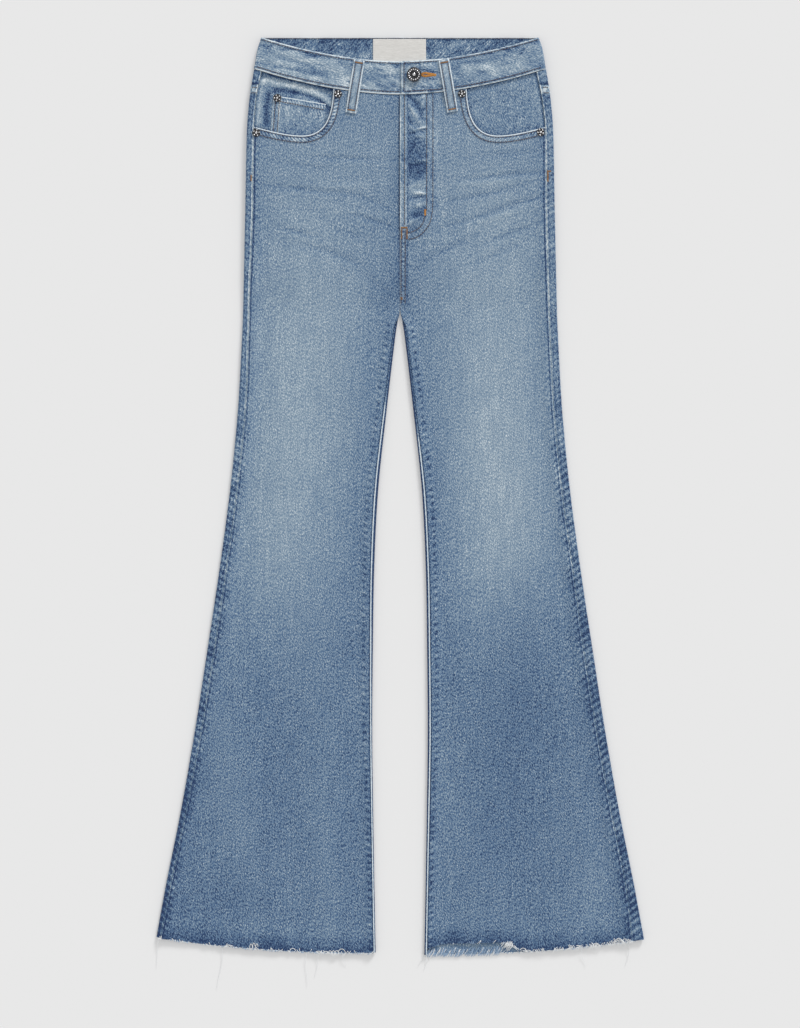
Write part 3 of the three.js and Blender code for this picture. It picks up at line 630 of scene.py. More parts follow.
WHISKER_ROWS = {  # creases at the hip: x, y, half width, half length, turn in degrees, height in millimetres
    LEFT: (
        (62, 956, 3.0, 40, 88, -0.6),
        (112, 946, 3.4, 34, 80, -0.32),
        (106, 918, 3.2, 46, 84, -0.62),
        (70, 922, 3.4, 40, 94, 0.3),
        (34, 905, 3.6, 24, 70, -0.36),
        (38, 884, 3.0, 26, 72, -0.6),
        (58, 892, 3.6, 30, 78, 0.34),
        (122, 868, 2.6, 22, 76, -0.62),
        (60, 866, 3.6, 26, 74, -0.26),
        (66, 836, 3.2, 28, 70, -0.55),
        (100, 848, 3.6, 34, 78, -0.3),
        (36, 812, 3.8, 22, 56, -0.36),
    ),
    RIGHT: (
        (134, 962, 3.4, 40, 86, -0.34),
        (130, 936, 3.2, 52, 84, -0.58),
        (112, 928, 3.6, 44, 84, 0.3),
        (96, 912, 3.2, 46, 78, -0.55),
        (140, 902, 3.4, 38, 74, -0.56),
        (84, 882, 3.2, 44, 74, -0.55),
        (120, 888, 3.8, 40, 76, 0.3),
        (132, 866, 3.2, 38, 70, -0.5),
        (62, 850, 3.4, 32, 66, -0.46),
        (112, 840, 3.6, 30, 66, -0.36),
        (24, 826, 3.4, 20, 50, -0.4),
    ),
}
WHISKER_FADE = 0.24  # change of the worn number for each millimetre of a whisker's height


def wash(leg, x, y):
    """The worn number of a leg away from its seams."""
    base = TONE(y) + PALE_STRENGTH[leg](y) * line(x, PALE_MIDDLE[leg](y), PALE_WIDTH(y))
    outer, inner = front_edges(leg, y)
    thigh = smooth(330, 470, y) * (1 - smooth(800, 900, y))
    base = base - 0.11 * thigh * line(x - inner, 0, 34) - 0.05 * line(outer - x, 0, 22)
    whiskers = patches(WHISKER_ROWS[leg], x, y)
    return base + patches(WASH_ROWS[leg], x, y) + WHISKER_FADE * whiskers


sample = wash(RIGHT, np.array([120.0]), np.array([594.0]))
print("Worn number at the right knee:", round(float(sample[0]), 2))

# %% [markdown]
# ## Where the front panel ends: the pocket mouth
# The front's corner is scooped out for the hand. Cutting a fine grid with a boolean leaves slivers, so the
# grid is fitted to the curve instead: every grid line that crosses the mouth gives its nearer end to the
# curve, and then the cells beyond the curve are left out. The cut edge comes out smooth, with no sliver.

# %% The mouth's curve and the fitted cut
MOUTH_CURVES = (  # from the waistband down, then out to the side seam: distances from the centre, and heights
    ((79.5, 1048), (80.5, 1012), (86, 983.5), (117.6, 983.3)),
    ((117.6, 983.3), (137, 983.2), (160, 990), (178, 994.5)),
)


def bezier(corners, count):
    a, b, c, d = (np.array(corner, float) for corner in corners)
    t = np.linspace(0, 1, count)[:, None]
    rest = 1 - t
    return a * rest**3 + 3 * b * t * rest**2 + 3 * c * t * t * rest + d * t**3


mouth_path = np.concatenate([bezier(corners, 90)[:-1] for corners in MOUTH_CURVES])


def distance_to(path, x, y):
    """Distance from places to a line of points, and 1 or -1 for its right or left side."""
    nearest = np.full(np.broadcast(x, y).shape, 1e9)
    side = np.ones_like(nearest)
    for start, end in zip(path[:-1], path[1:]):
        step = end - start
        dx, dy = x - start[0], y - start[1]
        share = np.clip((dx * step[0] + dy * step[1]) / (step @ step), 0, 1)
        gap = np.hypot(dx - share * step[0], dy - share * step[1])
        closer = gap < nearest
        nearest = np.where(closer, gap, nearest)
        side = np.where(closer, np.where(step[0] * dy - step[1] * dx > 0, -1, 1), side)
    return nearest, side


def fit_to_edge(x, y, kept):
    """Moves grid places onto the edge where kept, a signed distance, changes sign."""
    best = np.full(x.shape, 0.51)
    to_x, to_y = x.copy(), y.copy()
    for axis in (0, 1):
        for back in (False, True):
            here, there = kept, np.roll(kept, 1 if back else -1, axis)
            next_x, next_y = (np.roll(grid, 1 if back else -1, axis) for grid in (x, y))
            share = np.where(here * there < 0, here / np.where(here == there, 1, here - there), 1)
            edge = [slice(None), slice(None)]
            edge[axis] = 0 if back else -1
            share[tuple(edge)] = 1
            nearer = share < best
            best = np.where(nearer, share, best)
            to_x = np.where(nearer, mix(x, next_x, share), to_x)
            to_y = np.where(nearer, mix(y, next_y, share), to_y)
    return to_x, to_y, np.where(best < 0.51, 0, kept)


def kept_faces(kept):
    """Faces of a fitted grid on the side where kept isn't negative."""
    sign = np.sign(kept).reshape(-1)
    faces = []
    for a, b, c, d in grid_faces(*kept.shape).tolist():
        signs = (sign[a], sign[b], sign[c], sign[d])
        if min(signs) >= 0:
            if max(signs) > 0:
                faces.append([a, b, c, d])
        elif max(signs) > 0:
            halves = ([a, b, c], [a, c, d]) if signs[0] == 0 else ([a, b, d], [b, c, d])
            faces += [half for half in halves if min(sign[corner] for corner in half) >= 0]
    return faces


def cut_sheet(x, y, z, wear_and_shade, kept):
    """A sheet over the part of a fitted grid that is kept."""
    faces = kept_faces(kept)
    used = np.unique(np.concatenate([np.array(face) for face in faces]))
    new_place = np.full(kept.size, -1)
    new_place[used] = np.arange(len(used))
    points = np.stack((x, y, z), axis=-1).reshape(-1, 3)[used]
    faces = [new_place[face].tolist() for face in faces]
    return points, face_up(points, faces), wear_and_shade.reshape(-1)[used]


print("Length of a pocket mouth:", round(float(np.hypot(*np.diff(mouth_path, axis=0).T).sum())), "mm")

# %% [markdown]
# ## Front panels
# Each front is one fine sheet over the solid's form, with the things that sewing and washing did to it:
# ridges and dark hollows along the side seam, small ticks along the inseam, whiskers at the hip, and on the
# right leg the fly, with its folded edge strip, the crumpled placket and the marks of the hidden buttons.
# Every bump also moves the worn number, because washing rubs the hills and spares the hollows. A few dark
# lines are painted shade: under the waistband's edge, beside the fly's raised edge and beside its folded
# strip.

# %% Seam puckers and the fly, in millimetres
FLY = {"top": 1034, "bottom": 872, "strip": 8.4}
FLY_INNER_LINE = ((32, 1033), (32, 893))
FLY_OUTER_LINE = ((39.5, 1034), (39.5, 905), (38.9, 892), (36.7, 881.2), (33.6, 874), (29.4, 868.8))
FLY_OUTER_LINE += ((24.4, 864), (18.4, 860.6), (9.8, 858.6))
FLY_LOWER_LINE = ((30, 887), (28.2, 879.4), (24.6, 874), (19, 869.6), (9.8, 866.6))
BUTTON_MARKS = (  # hidden fly buttons press through: x, y, half width, half length, turn, height
    (28.6, 1030, 1.5, 5, 70, 0.7),
    (27.6, 992.4, 1.2, 7, 82, 0.9),
    (28.6, 953.4, 1.2, 6, 92, 0.9),
    (23.6, 914.6, 1.4, 7.4, 96, 1.0),
)
PLACKET_CREASES = (  # x, y, half width, half length, turn, height
    (15, 1013, 1.5, 15, -34, 1.1),
    (10.8, 1002, 1.4, 10, -22, -1.0),
    (20, 1018, 1.6, 11, -38, -0.9),
    (25, 1006, 1.5, 7, -20, -0.5),
    (13, 994, 1.5, 9, -40, 0.7),
    (18, 1024, 1.5, 9, -50, -0.7),
    (26, 1020, 1.6, 8, 30, 0.7),
    (16, 986, 1.7, 9, 76, -0.8),
    (24, 982, 1.6, 7, 100, 0.5),
    (14, 968, 2.4, 9, 20, -0.5),
    (22, 948, 1.6, 9, 84, -0.7),
    (12, 944, 2, 8, 8, -0.4),
    (20, 936, 3, 9, 70, -0.4),
    (18, 924, 3, 9, 60, 0.4),
    (22, 909, 1.5, 10, 82, -0.8),
    (22, 900, 1.8, 8, 70, 0.5),
    (22, 889, 3, 7, 60, -0.5),
    (14, 880, 1.6, 8, 60, 0.6),
)
PLACKET_TONES = (  # x, y, half width, half length, turn, change of the worn number
    (19, 1018, 12, 10, 0, 0.02),
    (21, 958, 13, 13, 0, -0.26),
    (22, 938, 12, 12, 0, -0.24),
    (20, 974, 12, 7, 0, -0.12),
    (19, 920, 11, 8, 0, 0.12),
    (18, 904, 10, 6, 0, 0.1),
    (21, 888, 11, 7, 0, -0.2),
    (20, 876, 9, 4, 0, -0.06),
    (19, 996, 9, 6, 0, 0.06),
)
FELL = {"top": 872, "bottom": 781, "width": 7.2}  # the felled seam below the fly


def seam_detail(leg, x, y):
    """Relief in millimetres, and change of the number for wear and painted shade, beside the seams of a front
    panel.
    """
    outer, inner = front_edges(leg, y)
    from_side, from_inseam = outer - x, x - inner
    rope = 0.75 * dashes(y + 0.8 * from_side, 8.2, 3 + leg) + 0.5 * uneven(y - 0.3 * from_side, 13, 5 + leg)
    strength = 0.4 + 0.6 * (1 - smooth(560, 700, y))
    beside = (1 - smooth(5, 10.5, from_side)) * strength
    relief = 0.32 * rope * beside + 0.2 * (1 - smooth(9, 12.5, from_side))
    at_hip = smooth(600, 850, y)
    pale_edge = 0.26 + 0.18 * at_hip + 0.1 * uneven(y, 9, 15 + leg)
    wear_and_shade = (0.27 * rope - 0.11) * beside + pale_edge * line(from_side, 0.3, 0.8)
    wear_and_shade = wear_and_shade - (0.3 + 0.2 * at_hip) * line(from_side, 2.2, 0.9)
    wear_and_shade = wear_and_shade - 0.1 * (1 - smooth(2, 8, from_side)) * at_hip + 0.1 * line(from_side, 4.2, 0.8)
    folded = folded_share(y)
    ticks = 0.8 * dashes(y - 0.4 * from_inseam, 8.6, 11 + leg) + 0.4 * uneven(y, 12, 13 + leg)
    tick_column = mix(3.4, 7.0, smooth(120, 330, y))
    near = line(from_inseam, tick_column, 2.6) * folded
    relief = relief + 0.3 * ticks * near - 0.3 * line(from_inseam, 0, 0.8) * folded
    wear_and_shade = wear_and_shade + (0.36 * ticks - 0.08) * near - 0.36 * line(from_inseam, 0.2, 0.9) * folded
    below_band = waist_seam(x) - SEAM_GAP - y
    gathers = uneven(x + 0.4 * below_band, 3.4, 17 + leg) * (1 - smooth(3, 10, below_band))
    relief = relief + 0.16 * gathers
    # Gathers under the band wear in dashes; the last term is painted shade, a dark band just under the
    # waistband's edge.
    wear_and_shade = wear_and_shade + 0.08 * gathers - 0.2 * (1 - smooth(0.4, 3.6, below_band))
    above_hem = y - front_hem(leg, x)
    damp = 0.7 + 0.3 * uneven(x, 16, 19 + leg)
    streaks = 0.1 * np.maximum(uneven(x, 3.2, 21 + leg), 0) * line(above_hem, 18, 26)
    wear_and_shade = wear_and_shade + streaks - 0.34 * damp * (1 - smooth(3, 22 + 5 * damp, above_hem))
    wear_and_shade = wear_and_shade - 0.1 * (1 - smooth(3, 8, above_hem))
    roll = line(from_side, 0, 0.8) + line(below_band, 0, 0.8)
    return relief - 0.45 * roll, wear_and_shade


def fly_detail(x, y):
    """The same over the fly and the felled seam below it, on the right front."""
    at_fly = smooth(FLY["bottom"] - 6, FLY["bottom"] + 2, y)
    strip = 1 - smooth(FLY["strip"] - 0.8, FLY["strip"] + 0.6, x)
    rope = uneven(y + x, 3.4, 23) + 0.5 * uneven(y, 11, 29)
    mottled = line(y, 950, 20)
    relief = at_fly * strip * (0.4 + 0.1 * rope)
    strip_worn = 0.12 + (0.08 + 0.16 * mottled) * rope - 0.14 * mottled
    wear_and_shade = at_fly * (strip * strip_worn + 0.26 * line(x, 0.3, 0.9))
    # The dark line at 9.2 mm is painted shade beside the raised edge of the folded strip.
    wear_and_shade = wear_and_shade - at_fly * (0.34 * line(x, 9.2, 1.1) + 0.12 * line(x, 4.1, 0.7) - 0.12 * line(x, 7.2, 0.8))
    placket = smooth(8.6, 11, x) * (1 - smooth(29, 33, x)) * at_fly
    creases = patches(PLACKET_CREASES, x, y) + patches(BUTTON_MARKS, x, y)
    creases = creases + 0.26 * uneven_area((x + 0.6 * y) / 3.2, (y - 0.5 * x) / 8, 31)
    relief = relief + 1.3 * placket * creases
    bright = 0.14 * patches(BUTTON_MARKS, x, y)
    wear_and_shade = wear_and_shade + placket * (0.5 * creases + bright - 0.07 + 1.2 * patches(PLACKET_TONES, x, y))
    ticks = uneven(y + x, 2.2, 33)
    for fly_line in (FLY_OUTER_LINE, FLY_INNER_LINE, FLY_LOWER_LINE):
        gap = distance_to(np.array(fly_line, float), x, y)[0]
        relief = relief - 0.22 * line(gap, 0, 1.0) + 0.1 * ticks * line(gap, 1.4, 1.4)
        wear_and_shade = wear_and_shade - 0.2 * line(gap, 0, 1.2) + 0.2 * ticks * line(gap, 1.6, 1.6)
    wear_and_shade = wear_and_shade + 0.07 * line(x, 44, 2.4) * smooth(900, 930, y) * (1 - smooth(1000, 1030, y))
    below = smooth(FELL["bottom"] - 3, FELL["bottom"] + 2, y) * (1 - smooth(FELL["top"] - 8, FELL["top"], y))
    fell = 1 - smooth(FELL["width"] - 1, FELL["width"] + 0.6, x)
    ticks = 0.8 * np.sin(2 * np.pi * (y + 0.4 * x) / 5.8) + 0.5 * uneven(y, 4, 37)
    relief = relief + below * fell * (0.35 + 0.3 * ticks)
    ladder = line(x, 3.9, 1.8) * ticks
    gathers = line(y + 0.5 * x, 851, 2.4) + line(y + 0.5 * x, 838, 2) + line(y + 0.4 * x, 825, 2.4)
    gathers = gathers * smooth(FELL["width"], FELL["width"] + 3, x) * (1 - smooth(14, 24, x))
    wear_and_shade = wear_and_shade + below * (0.44 * ladder + 0.02 * fell + 0.24 * line(x, 0.2, 0.8) - 0.3 * line(x, 1.6, 0.8))
    wear_and_shade = wear_and_shade + below * 0.14 * gathers
    return relief, wear_and_shade - below * (0.26 * line(x, 6.2, 0.8) + 0.26 * line(x, FELL["width"] + 1.2, 1.1))


def front_detail(leg, x, y):
    relief, wear_and_shade = seam_detail(leg, x, y)
    relief = relief + patches(WHISKER_ROWS[leg], x, y)
    if leg == RIGHT:
        fly_relief, fly_wear_and_shade = fly_detail(x, y)
        return relief + fly_relief, wear_and_shade + fly_wear_and_shade + wash(leg, x, y)
    # Painted shade on the left front beside the fly: a broad darker band, and a narrow dark line for the
    # shadow of the fly's raised edge.
    fly_edge_shade = smooth(FELL["bottom"], FORK + 30, y)
    wear_and_shade = wear_and_shade - fly_edge_shade * (0.1 * line(x, 0, 12) + 0.22 * line(x, 1.2, 1.0))
    return relief, wear_and_shade + wash(leg, x, y)


def front_surface(leg, x, y):
    """Height of the finished upper face of a front panel, and its number for wear and painted shade."""
    relief, wear_and_shade = front_detail(leg, x, y)
    return front_top(leg, x, y) + relief, wear_and_shade


# %% Make the front panels
FRONT_ROWS = np.concatenate((np.arange(0, 870, 2.5), np.arange(870, WAIST_SEAM_SIDE, 1.7), [WAIST_SEAM_SIDE]))
MOUTH_REGION = {"x": 76, "y": 970}  # nearer to the centre or lower than this, no front is cut


def front_sheet(leg):
    row, share = FRONT_ROWS[:, None], spaced(86)[None, :]
    y = row + 0 * share
    for _ in range(3):
        outer, inner = front_edges(leg, y)
        x = mix(outer, inner, share)
        y = front_height(leg, x, row)
    gap, side = distance_to(mouth_path[::6], x, y)
    kept = np.where((x > MOUTH_REGION["x"]) & (y > MOUTH_REGION["y"]), gap * side, 1.0)
    x, y, kept = fit_to_edge(x, y, kept)
    z, wear_and_shade = front_surface(leg, x, y)
    return cut_sheet(x * leg, y, z, wear_and_shade, kept)


def beside_mouth(leg, away, count):
    """Points at a distance inside the panel from the mouth, between the waistband and the side seam."""
    step = np.gradient(mouth_path, axis=0)
    step = step / np.hypot(*step.T)[:, None]
    points = mouth_path + away * np.stack((step[:, 1], -step[:, 0]), axis=1)
    x, y = points.T
    inside = (y < waist_seam(x) - SEAM_GAP - 0.1) & (x < front_edges(leg, y)[0] - 0.1)
    points = points[inside]
    along = np.append(0, np.cumsum(np.hypot(*np.diff(points, axis=0).T)))
    places = np.linspace(0, along[-1], count)
    return np.stack([np.interp(places, along, column) for column in points.T], axis=1)


MOUTH_HEM = 9.6  # how far the turned edge of the mouth reaches into the panel
MOUTH_STITCHES = (2.0, 8.0)
MOUTH_RUNGS = {LEFT: 0.38, RIGHT: 0.24}  # how strongly the puckers of the turned edge show


def mouth_hem_sheet(leg):
    """The turned double edge of the pocket mouth, raised on the panel and puckered between its two seams."""
    away = np.array((0, 0.4, 0.9, 1.5, 2, 2.6, 3.4, 4.4, 5.4, 6.4, 7.2, 8, 8.6, 9.2, MOUTH_HEM))
    points = np.stack([beside_mouth(leg, gap, 130) for gap in away], axis=1)
    x, y = points[..., 0], points[..., 1]
    along = np.append(0, np.cumsum(np.hypot(*np.diff(points[:, 5], axis=0).T)))[:, None]
    z, wear_and_shade = front_surface(leg, x, y)
    ticks = np.sin(2 * np.pi * (along + 0.6 * away) / 4.4) + uneven(along - 0.4 * away, 5.4, 103 + leg)
    ticks = 0.7 * ticks
    between = smooth(1.4, 2.8, away) * (1 - smooth(6.8, 8.4, away))
    raised = 0.5 - 0.9 * smooth(8.2, MOUTH_HEM, away) - 0.4 * line(away, 0, 0.5)
    relief = raised + 0.2 * ticks * between - 0.16 * (line(away, 2, 0.7) + line(away, 8, 0.7))
    wear_and_shade = wear_and_shade + MOUTH_RUNGS[leg] * ticks * between + 0.6 * line(away, 0.4, 0.9) - 0.3 * line(away, 2.3, 0.9)
    wear_and_shade = wear_and_shade - 0.24 * line(away, 8.6, 1.1)
    return whole_sheet(x * leg, y, z + relief, wear_and_shade)


LEG_WORDS = {LEFT: "left", RIGHT: "right"}
TWO_SIDES = [WASHED_DENIM, WRONG_SIDE]  # the outer face and the inner face
front_panels = {}
for leg, word in LEG_WORDS.items():
    sheets = [front_sheet(leg), mouth_hem_sheet(leg)]
    name = f"front_panel_{word}"
    front_panels[leg] = cloth_shell(name, sheets, TWO_SIDES, CLOTH, [f"front_leg_{word}"])

# %% [markdown]
# ## Back panels
# Each back panel is wider than the front. It comes round to the front at the side seam, where its strip
# beside the seam ropes up into dark and pale blotches, and it comes round the inseam too. So it is made as
# a section: the strip on top, the side fold, the flat on the table, the inner fold and the tuck. Each
# column of the grid is one place of that section, and its direction outwards is known, so puckers can push
# along it.

# %% Section of a back panel
BACK_FLAT_END = 6  # where the flat part ends at the crotch, before the legs part
LAP_PARTS = np.linspace(0, 1, 12)[:-1]
FOLD_PARTS = np.linspace(0, 1, 10)
FLAT_PARTS = np.linspace(0, 1, 18)[1:-1]
TUCK_PARTS = np.linspace(0, 1, 5)[1:]
BACK_COLUMNS = len(LAP_PARTS) + 2 * len(FOLD_PARTS) + len(FLAT_PARTS) + len(TUCK_PARTS)


def back_section(leg, y):
    """For each column, given its height y: x, z and the direction outwards, of the outer face of a back."""
    y = np.broadcast_to(y, (y.shape[0], BACK_COLUMNS))
    height, base, folded = fold_height(y), lift(y), folded_share(y)
    radius = height / 2
    side, inner = section["side"](y), section["inner"](y)
    lap, tuck = side_of(leg, "lap")(y), side_of(leg, "tuck")(y)
    ends = np.cumsum([len(LAP_PARTS), len(FOLD_PARTS), len(FLAT_PARTS), len(FOLD_PARTS)])
    x, z, out_x, out_z = (np.zeros(y.shape) for _ in range(4))
    on_top = slice(0, ends[0])
    x[:, on_top] = mix((side - lap)[:, on_top], (side - radius)[:, on_top], LAP_PARTS)
    z[:, on_top] = (base + height)[:, on_top]
    out_z[:, on_top] = 1
    at_side = slice(ends[0], ends[1])
    angle = np.pi * (0.5 - FOLD_PARTS)
    x[:, at_side] = (side - radius)[:, at_side] + radius[:, at_side] * np.cos(angle)
    z[:, at_side] = (base + radius)[:, at_side] + radius[:, at_side] * np.sin(angle)
    out_x[:, at_side], out_z[:, at_side] = np.cos(angle), np.sin(angle)
    below = slice(ends[1], ends[2])
    start, stop = side - radius, mix(BACK_FLAT_END, inner + radius, folded)
    x[:, below] = mix(start[:, below], stop[:, below], FLAT_PARTS)
    z[:, below] = base[:, below]
    out_z[:, below] = -1
    at_inseam = slice(ends[2], ends[3])
    angle = -np.pi * (0.5 + FOLD_PARTS)
    part = folded[:, at_inseam]
    fold_x = (inner + radius)[:, at_inseam] + radius[:, at_inseam] * np.cos(angle)
    fold_z = radius[:, at_inseam] * (1 + np.sin(angle))
    open_x = mix(BACK_FLAT_END, SEAM_GAP / 2 + 1, FOLD_PARTS)
    x[:, at_inseam] = mix(open_x, fold_x, part)
    z[:, at_inseam] = base[:, at_inseam] + fold_z * part
    out_x[:, at_inseam] = np.cos(angle) * part
    out_z[:, at_inseam] = mix(-1, np.sin(angle), part)
    tucked = slice(ends[3], None)
    part = folded[:, tucked]
    tuck_x = mix((inner + radius)[:, tucked], (inner + tuck)[:, tucked], TUCK_PARTS)
    open_x = mix(SEAM_GAP / 2 + 1, SEAM_GAP / 2, TUCK_PARTS)
    x[:, tucked] = mix(open_x, tuck_x, part)
    z[:, tucked] = base[:, tucked] + height[:, tucked] * part
    out_z[:, tucked] = mix(-1, 1, part)
    return x, z, out_x, out_z


def back_height(leg, x, row):
    dip = (yoke_seam(x) - SEAM_GAP / 2 - YOKE_SIDE) * smooth(870, YOKE_SIDE, row)
    return row + dip + back_hem(leg, x) * (1 - smooth(0, 90, row))


BACK_CREASES = (  # behind the knee and under the seat: x, y, half width, half length, turn, height
    (110, 505, 4, 60, 70, -0.5),
    (130, 482, 4, 64, 96, -0.6),
    (104, 462, 4, 52, 118, -0.5),
    (128, 440, 4, 50, 78, -0.45),
    (70, 772, 5, 60, 62, -0.5),
    (104, 752, 5, 56, 74, -0.45),
    (60, 738, 4, 40, 56, -0.4),
)


def back_detail(leg, x, y, out_z):
    """Relief, and the number for wear and painted shade, of a back panel, yoke and fold alike."""
    side, lap, inner = section["side"](y), side_of(leg, "lap")(y), section["inner"](y)
    from_seam, from_side = x - (side - lap), side - x
    on_top = smooth(-0.2, 0.5, out_z)
    near_side = 1 - smooth(20, 34, from_side)
    rope = 0.8 * dashes(y - 0.7 * from_seam, 8.2, 7 + leg) + 0.5 * uneven(y + 0.4 * from_seam, 14, 9 + leg)
    strength = 0.5 + 0.5 * (1 - smooth(560, 700, y))
    relief = near_side * (0.28 * rope * on_top - 0.35 * line(from_seam, 0, 0.8) * on_top)
    darker = 0.04 + 0.08 * (1 - smooth(700, 820, y))
    wear_and_shade = near_side * (0.34 * rope * strength * (0.45 + 0.55 * on_top) - darker)
    pale_edge = 0.16 + 0.34 * smooth(600, 850, y) + 0.1 * uneven(y, 9, 15 + leg)
    below_yoke = YOKE_SIDE - y
    felled = smooth(0, 1, below_yoke) * (1 - smooth(YOKE_FELL - 1, YOKE_FELL, below_yoke))
    marks = pale_edge * line(from_seam, 0.2, 0.8) - 0.2 * line(from_seam, 2.4, 0.9)
    marks = marks - 0.2 * line(from_side, 1.6, 1.2) + 0.38 * felled
    marks = marks - 0.7 * line(below_yoke, -1.4, 1.2) - 0.3 * line(below_yoke, YOKE_FELL + 2, 1.8)
    wear_and_shade = wear_and_shade + near_side * on_top * marks
    relief = relief + near_side * on_top * 0.3 * felled
    folded = folded_share(y)
    near_inseam = (1 - smooth(8, 16, x - inner)) * folded
    ticks = uneven(y, 2.9, 11 + leg)
    tuck = side_of(leg, "tuck")(y)
    shown = 1 - smooth(TUCK_SHOWS[leg] - 20, TUCK_SHOWS[leg] + 20, y)
    tuck_line = shown * line(x - inner, tuck - 1.0, 0.6) * (1.0 + 0.15 * ticks)
    wear_and_shade = wear_and_shade + near_inseam * (1.2 * on_top * tuck_line - 0.16)
    # Painted shade on the side of the inseam fold: the fold is darkened up to dark_end.
    dark_end = mix(1.6, np.maximum(tuck - 2.4, 0.5), shown)
    wear_and_shade = wear_and_shade - 0.42 * near_inseam * (1 - smooth(dark_end, dark_end + 0.9, x - inner))
    relief = relief + near_inseam * on_top * 0.1 * ticks
    underneath, creases = 1 - on_top, patches(BACK_CREASES, x, y)
    relief = relief - underneath * np.abs(creases)
    wear_and_shade = wear_and_shade + underneath * (WHISKER_FADE * creases + 0.04 * line(y, 900, 90))
    damp = 1 - smooth(4, 13, y - back_hem(leg, x))
    return relief, wear_and_shade - 0.15 * damp


def finished_back(leg, y, x, z, out_x, out_z):
    """A sheet over places of the section, with its puckers pushed outwards, its wash and its painted shade.
    """
    relief, wear_and_shade = back_detail(leg, x, y, out_z)
    return whole_sheet((x + relief * out_x) * leg, y, z + relief * out_z, wear_and_shade + wash(leg, x, y))


def back_sheet(leg, rows):
    """The back panel from the hem to the yoke seam."""
    row = rows[:, None] + np.zeros((1, BACK_COLUMNS))
    y = row.copy()
    for _ in range(3):
        y = back_height(leg, back_section(leg, y)[0], row)
    return finished_back(leg, y, *back_section(leg, y))


# %% Make the back panels and yokes
BACK_ROW_STEP = 2.6
YOKE_SECTION_AT = 1054.6
YOKE_ROWS = 34
back_rows = np.append(np.arange(0, YOKE_SIDE - 1, BACK_ROW_STEP), YOKE_SIDE)
back_panels, yokes = {}, {}


def yoke_sheet(leg):
    """The yoke, between the yoke seam and the waistband. Its section is nearly the same all the way up."""
    share = np.linspace(0, 1, YOKE_ROWS)[:, None]
    level = np.full((YOKE_ROWS, 1), YOKE_SECTION_AT)
    x, z, out_x, out_z = back_section(leg, level)
    column = np.arange(BACK_COLUMNS)
    round_side = np.clip((column - len(LAP_PARTS)) / (len(FOLD_PARTS) / 2), 0, 1)
    for _ in range(2):
        low = yoke_seam(x) + SEAM_GAP / 2
        high = mix(waist_seam(x), WAIST_SEAM_SIDE, round_side) - 2 * SEAM_GAP
        y = mix(low, high, share)
        x = back_section(leg, y)[0]
    return finished_back(leg, y, x, z, out_x, out_z)


for leg, word in LEG_WORDS.items():
    name, sheet = f"back_panel_{word}", back_sheet(leg, back_rows)
    back_panels[leg] = cloth_shell(name, [sheet], TWO_SIDES, CLOTH, [f"back_leg_{word}"])
    name = f"yoke_{word}"
    yokes[leg] = cloth_shell(name, [yoke_sheet(leg)], TWO_SIDES, CLOTH, [f"back_{name}"])

# %% [markdown]
# ## Waistband
# The band is one strip folded double. It runs from the underlap at the centre front, round the left side,
# across the back, round the right side and over the underlap to the button. The lesson walks along that
# path and stops every millimetre or two. The seam allowances inside press through at both edges, so the
# washing leaves pale edges there, with a dark line beside each of them, and the lower edge ropes.

# %% Path and surface of the waistband
BAND_BACK_Z = HIP_LIFT + BAND / 2
BAND_FRONT_Z = FRONT_BAND_Z + BAND / 2
BAND_RADIUS = (BAND_FRONT_Z - BAND_BACK_Z) / 2
BAND_TURN = 156  # where the front of the band starts to bend round the side
BAND_EDGE = 0.14  # share of the band's height that each edge takes, with finer rows
edge_rows = np.linspace(0, BAND_EDGE, 7)
middle_rows = np.linspace(BAND_EDGE, 1 - BAND_EDGE, 25)[1:-1]
BAND_ROWS = np.concatenate((edge_rows, middle_rows, 1 - edge_rows[::-1]))
BAND_STEP = 1.4
BAND_PALEST = 0.82  # how worn the band is at most between its edges
FOLD_STATIONS = 12
BACK_HALF = 160


def band_stations():
    """Places along the band: leg, distance from the centre, and angle round the fold. 90 is the front."""
    stations = [(LEFT, x, 90) for x in -np.arange(-OVERLAP_END, BAND_TURN + 1, BAND_STEP)]
    stations += [(LEFT, None, angle) for angle in np.linspace(90, -90, FOLD_STATIONS)]
    stations += [(LEFT, x, -90) for x in np.arange(-BACK_HALF, BACK_HALF + 1, BAND_STEP)]
    stations += [(RIGHT, None, angle) for angle in np.linspace(-90, 90, FOLD_STATIONS)]
    ends = np.append(np.arange(BAND_TURN, OVERLAP_EDGE + 1, -BAND_STEP), OVERLAP_EDGE)
    return stations + [(RIGHT, x, 90) for x in ends]


def band_column(leg, x, angle):
    """Points of the outer face of the band along one station, and how far the station is round the side."""
    share = BAND_ROWS
    turn = math.radians(angle)
    y = mix(WAIST_SEAM_SIDE, WAIST_TOP, share)
    round_side = min(1.0, (90 - angle) / 90)
    z_middle = BAND_BACK_Z + BAND_RADIUS * (1 + math.sin(turn))
    if x is None:
        for _ in range(2):
            reach = section["side"](y) - BAND_RADIUS - BAND / 2 + BAND_RADIUS * math.cos(turn)
            low = mix(waist_seam(reach), WAIST_SEAM_SIDE, round_side)
            high = mix(waist_top(reach), WAIST_TOP, round_side)
            y = mix(low, high, share)
        place = leg * (reach + math.cos(turn) * BAND / 2)
    else:
        place = np.full(share.shape, float(x))
        y = mix(waist_seam(x), waist_top(x), share) if angle > 0 else y
    if leg == RIGHT and angle > 0 and x is not None:
        z_middle += OVERLAP_STEP * (1 - smooth(OVERLAP_END, OVERLAP_FADE, x))
    return place, y, z_middle + math.sin(turn) * BAND / 2 + 0 * y


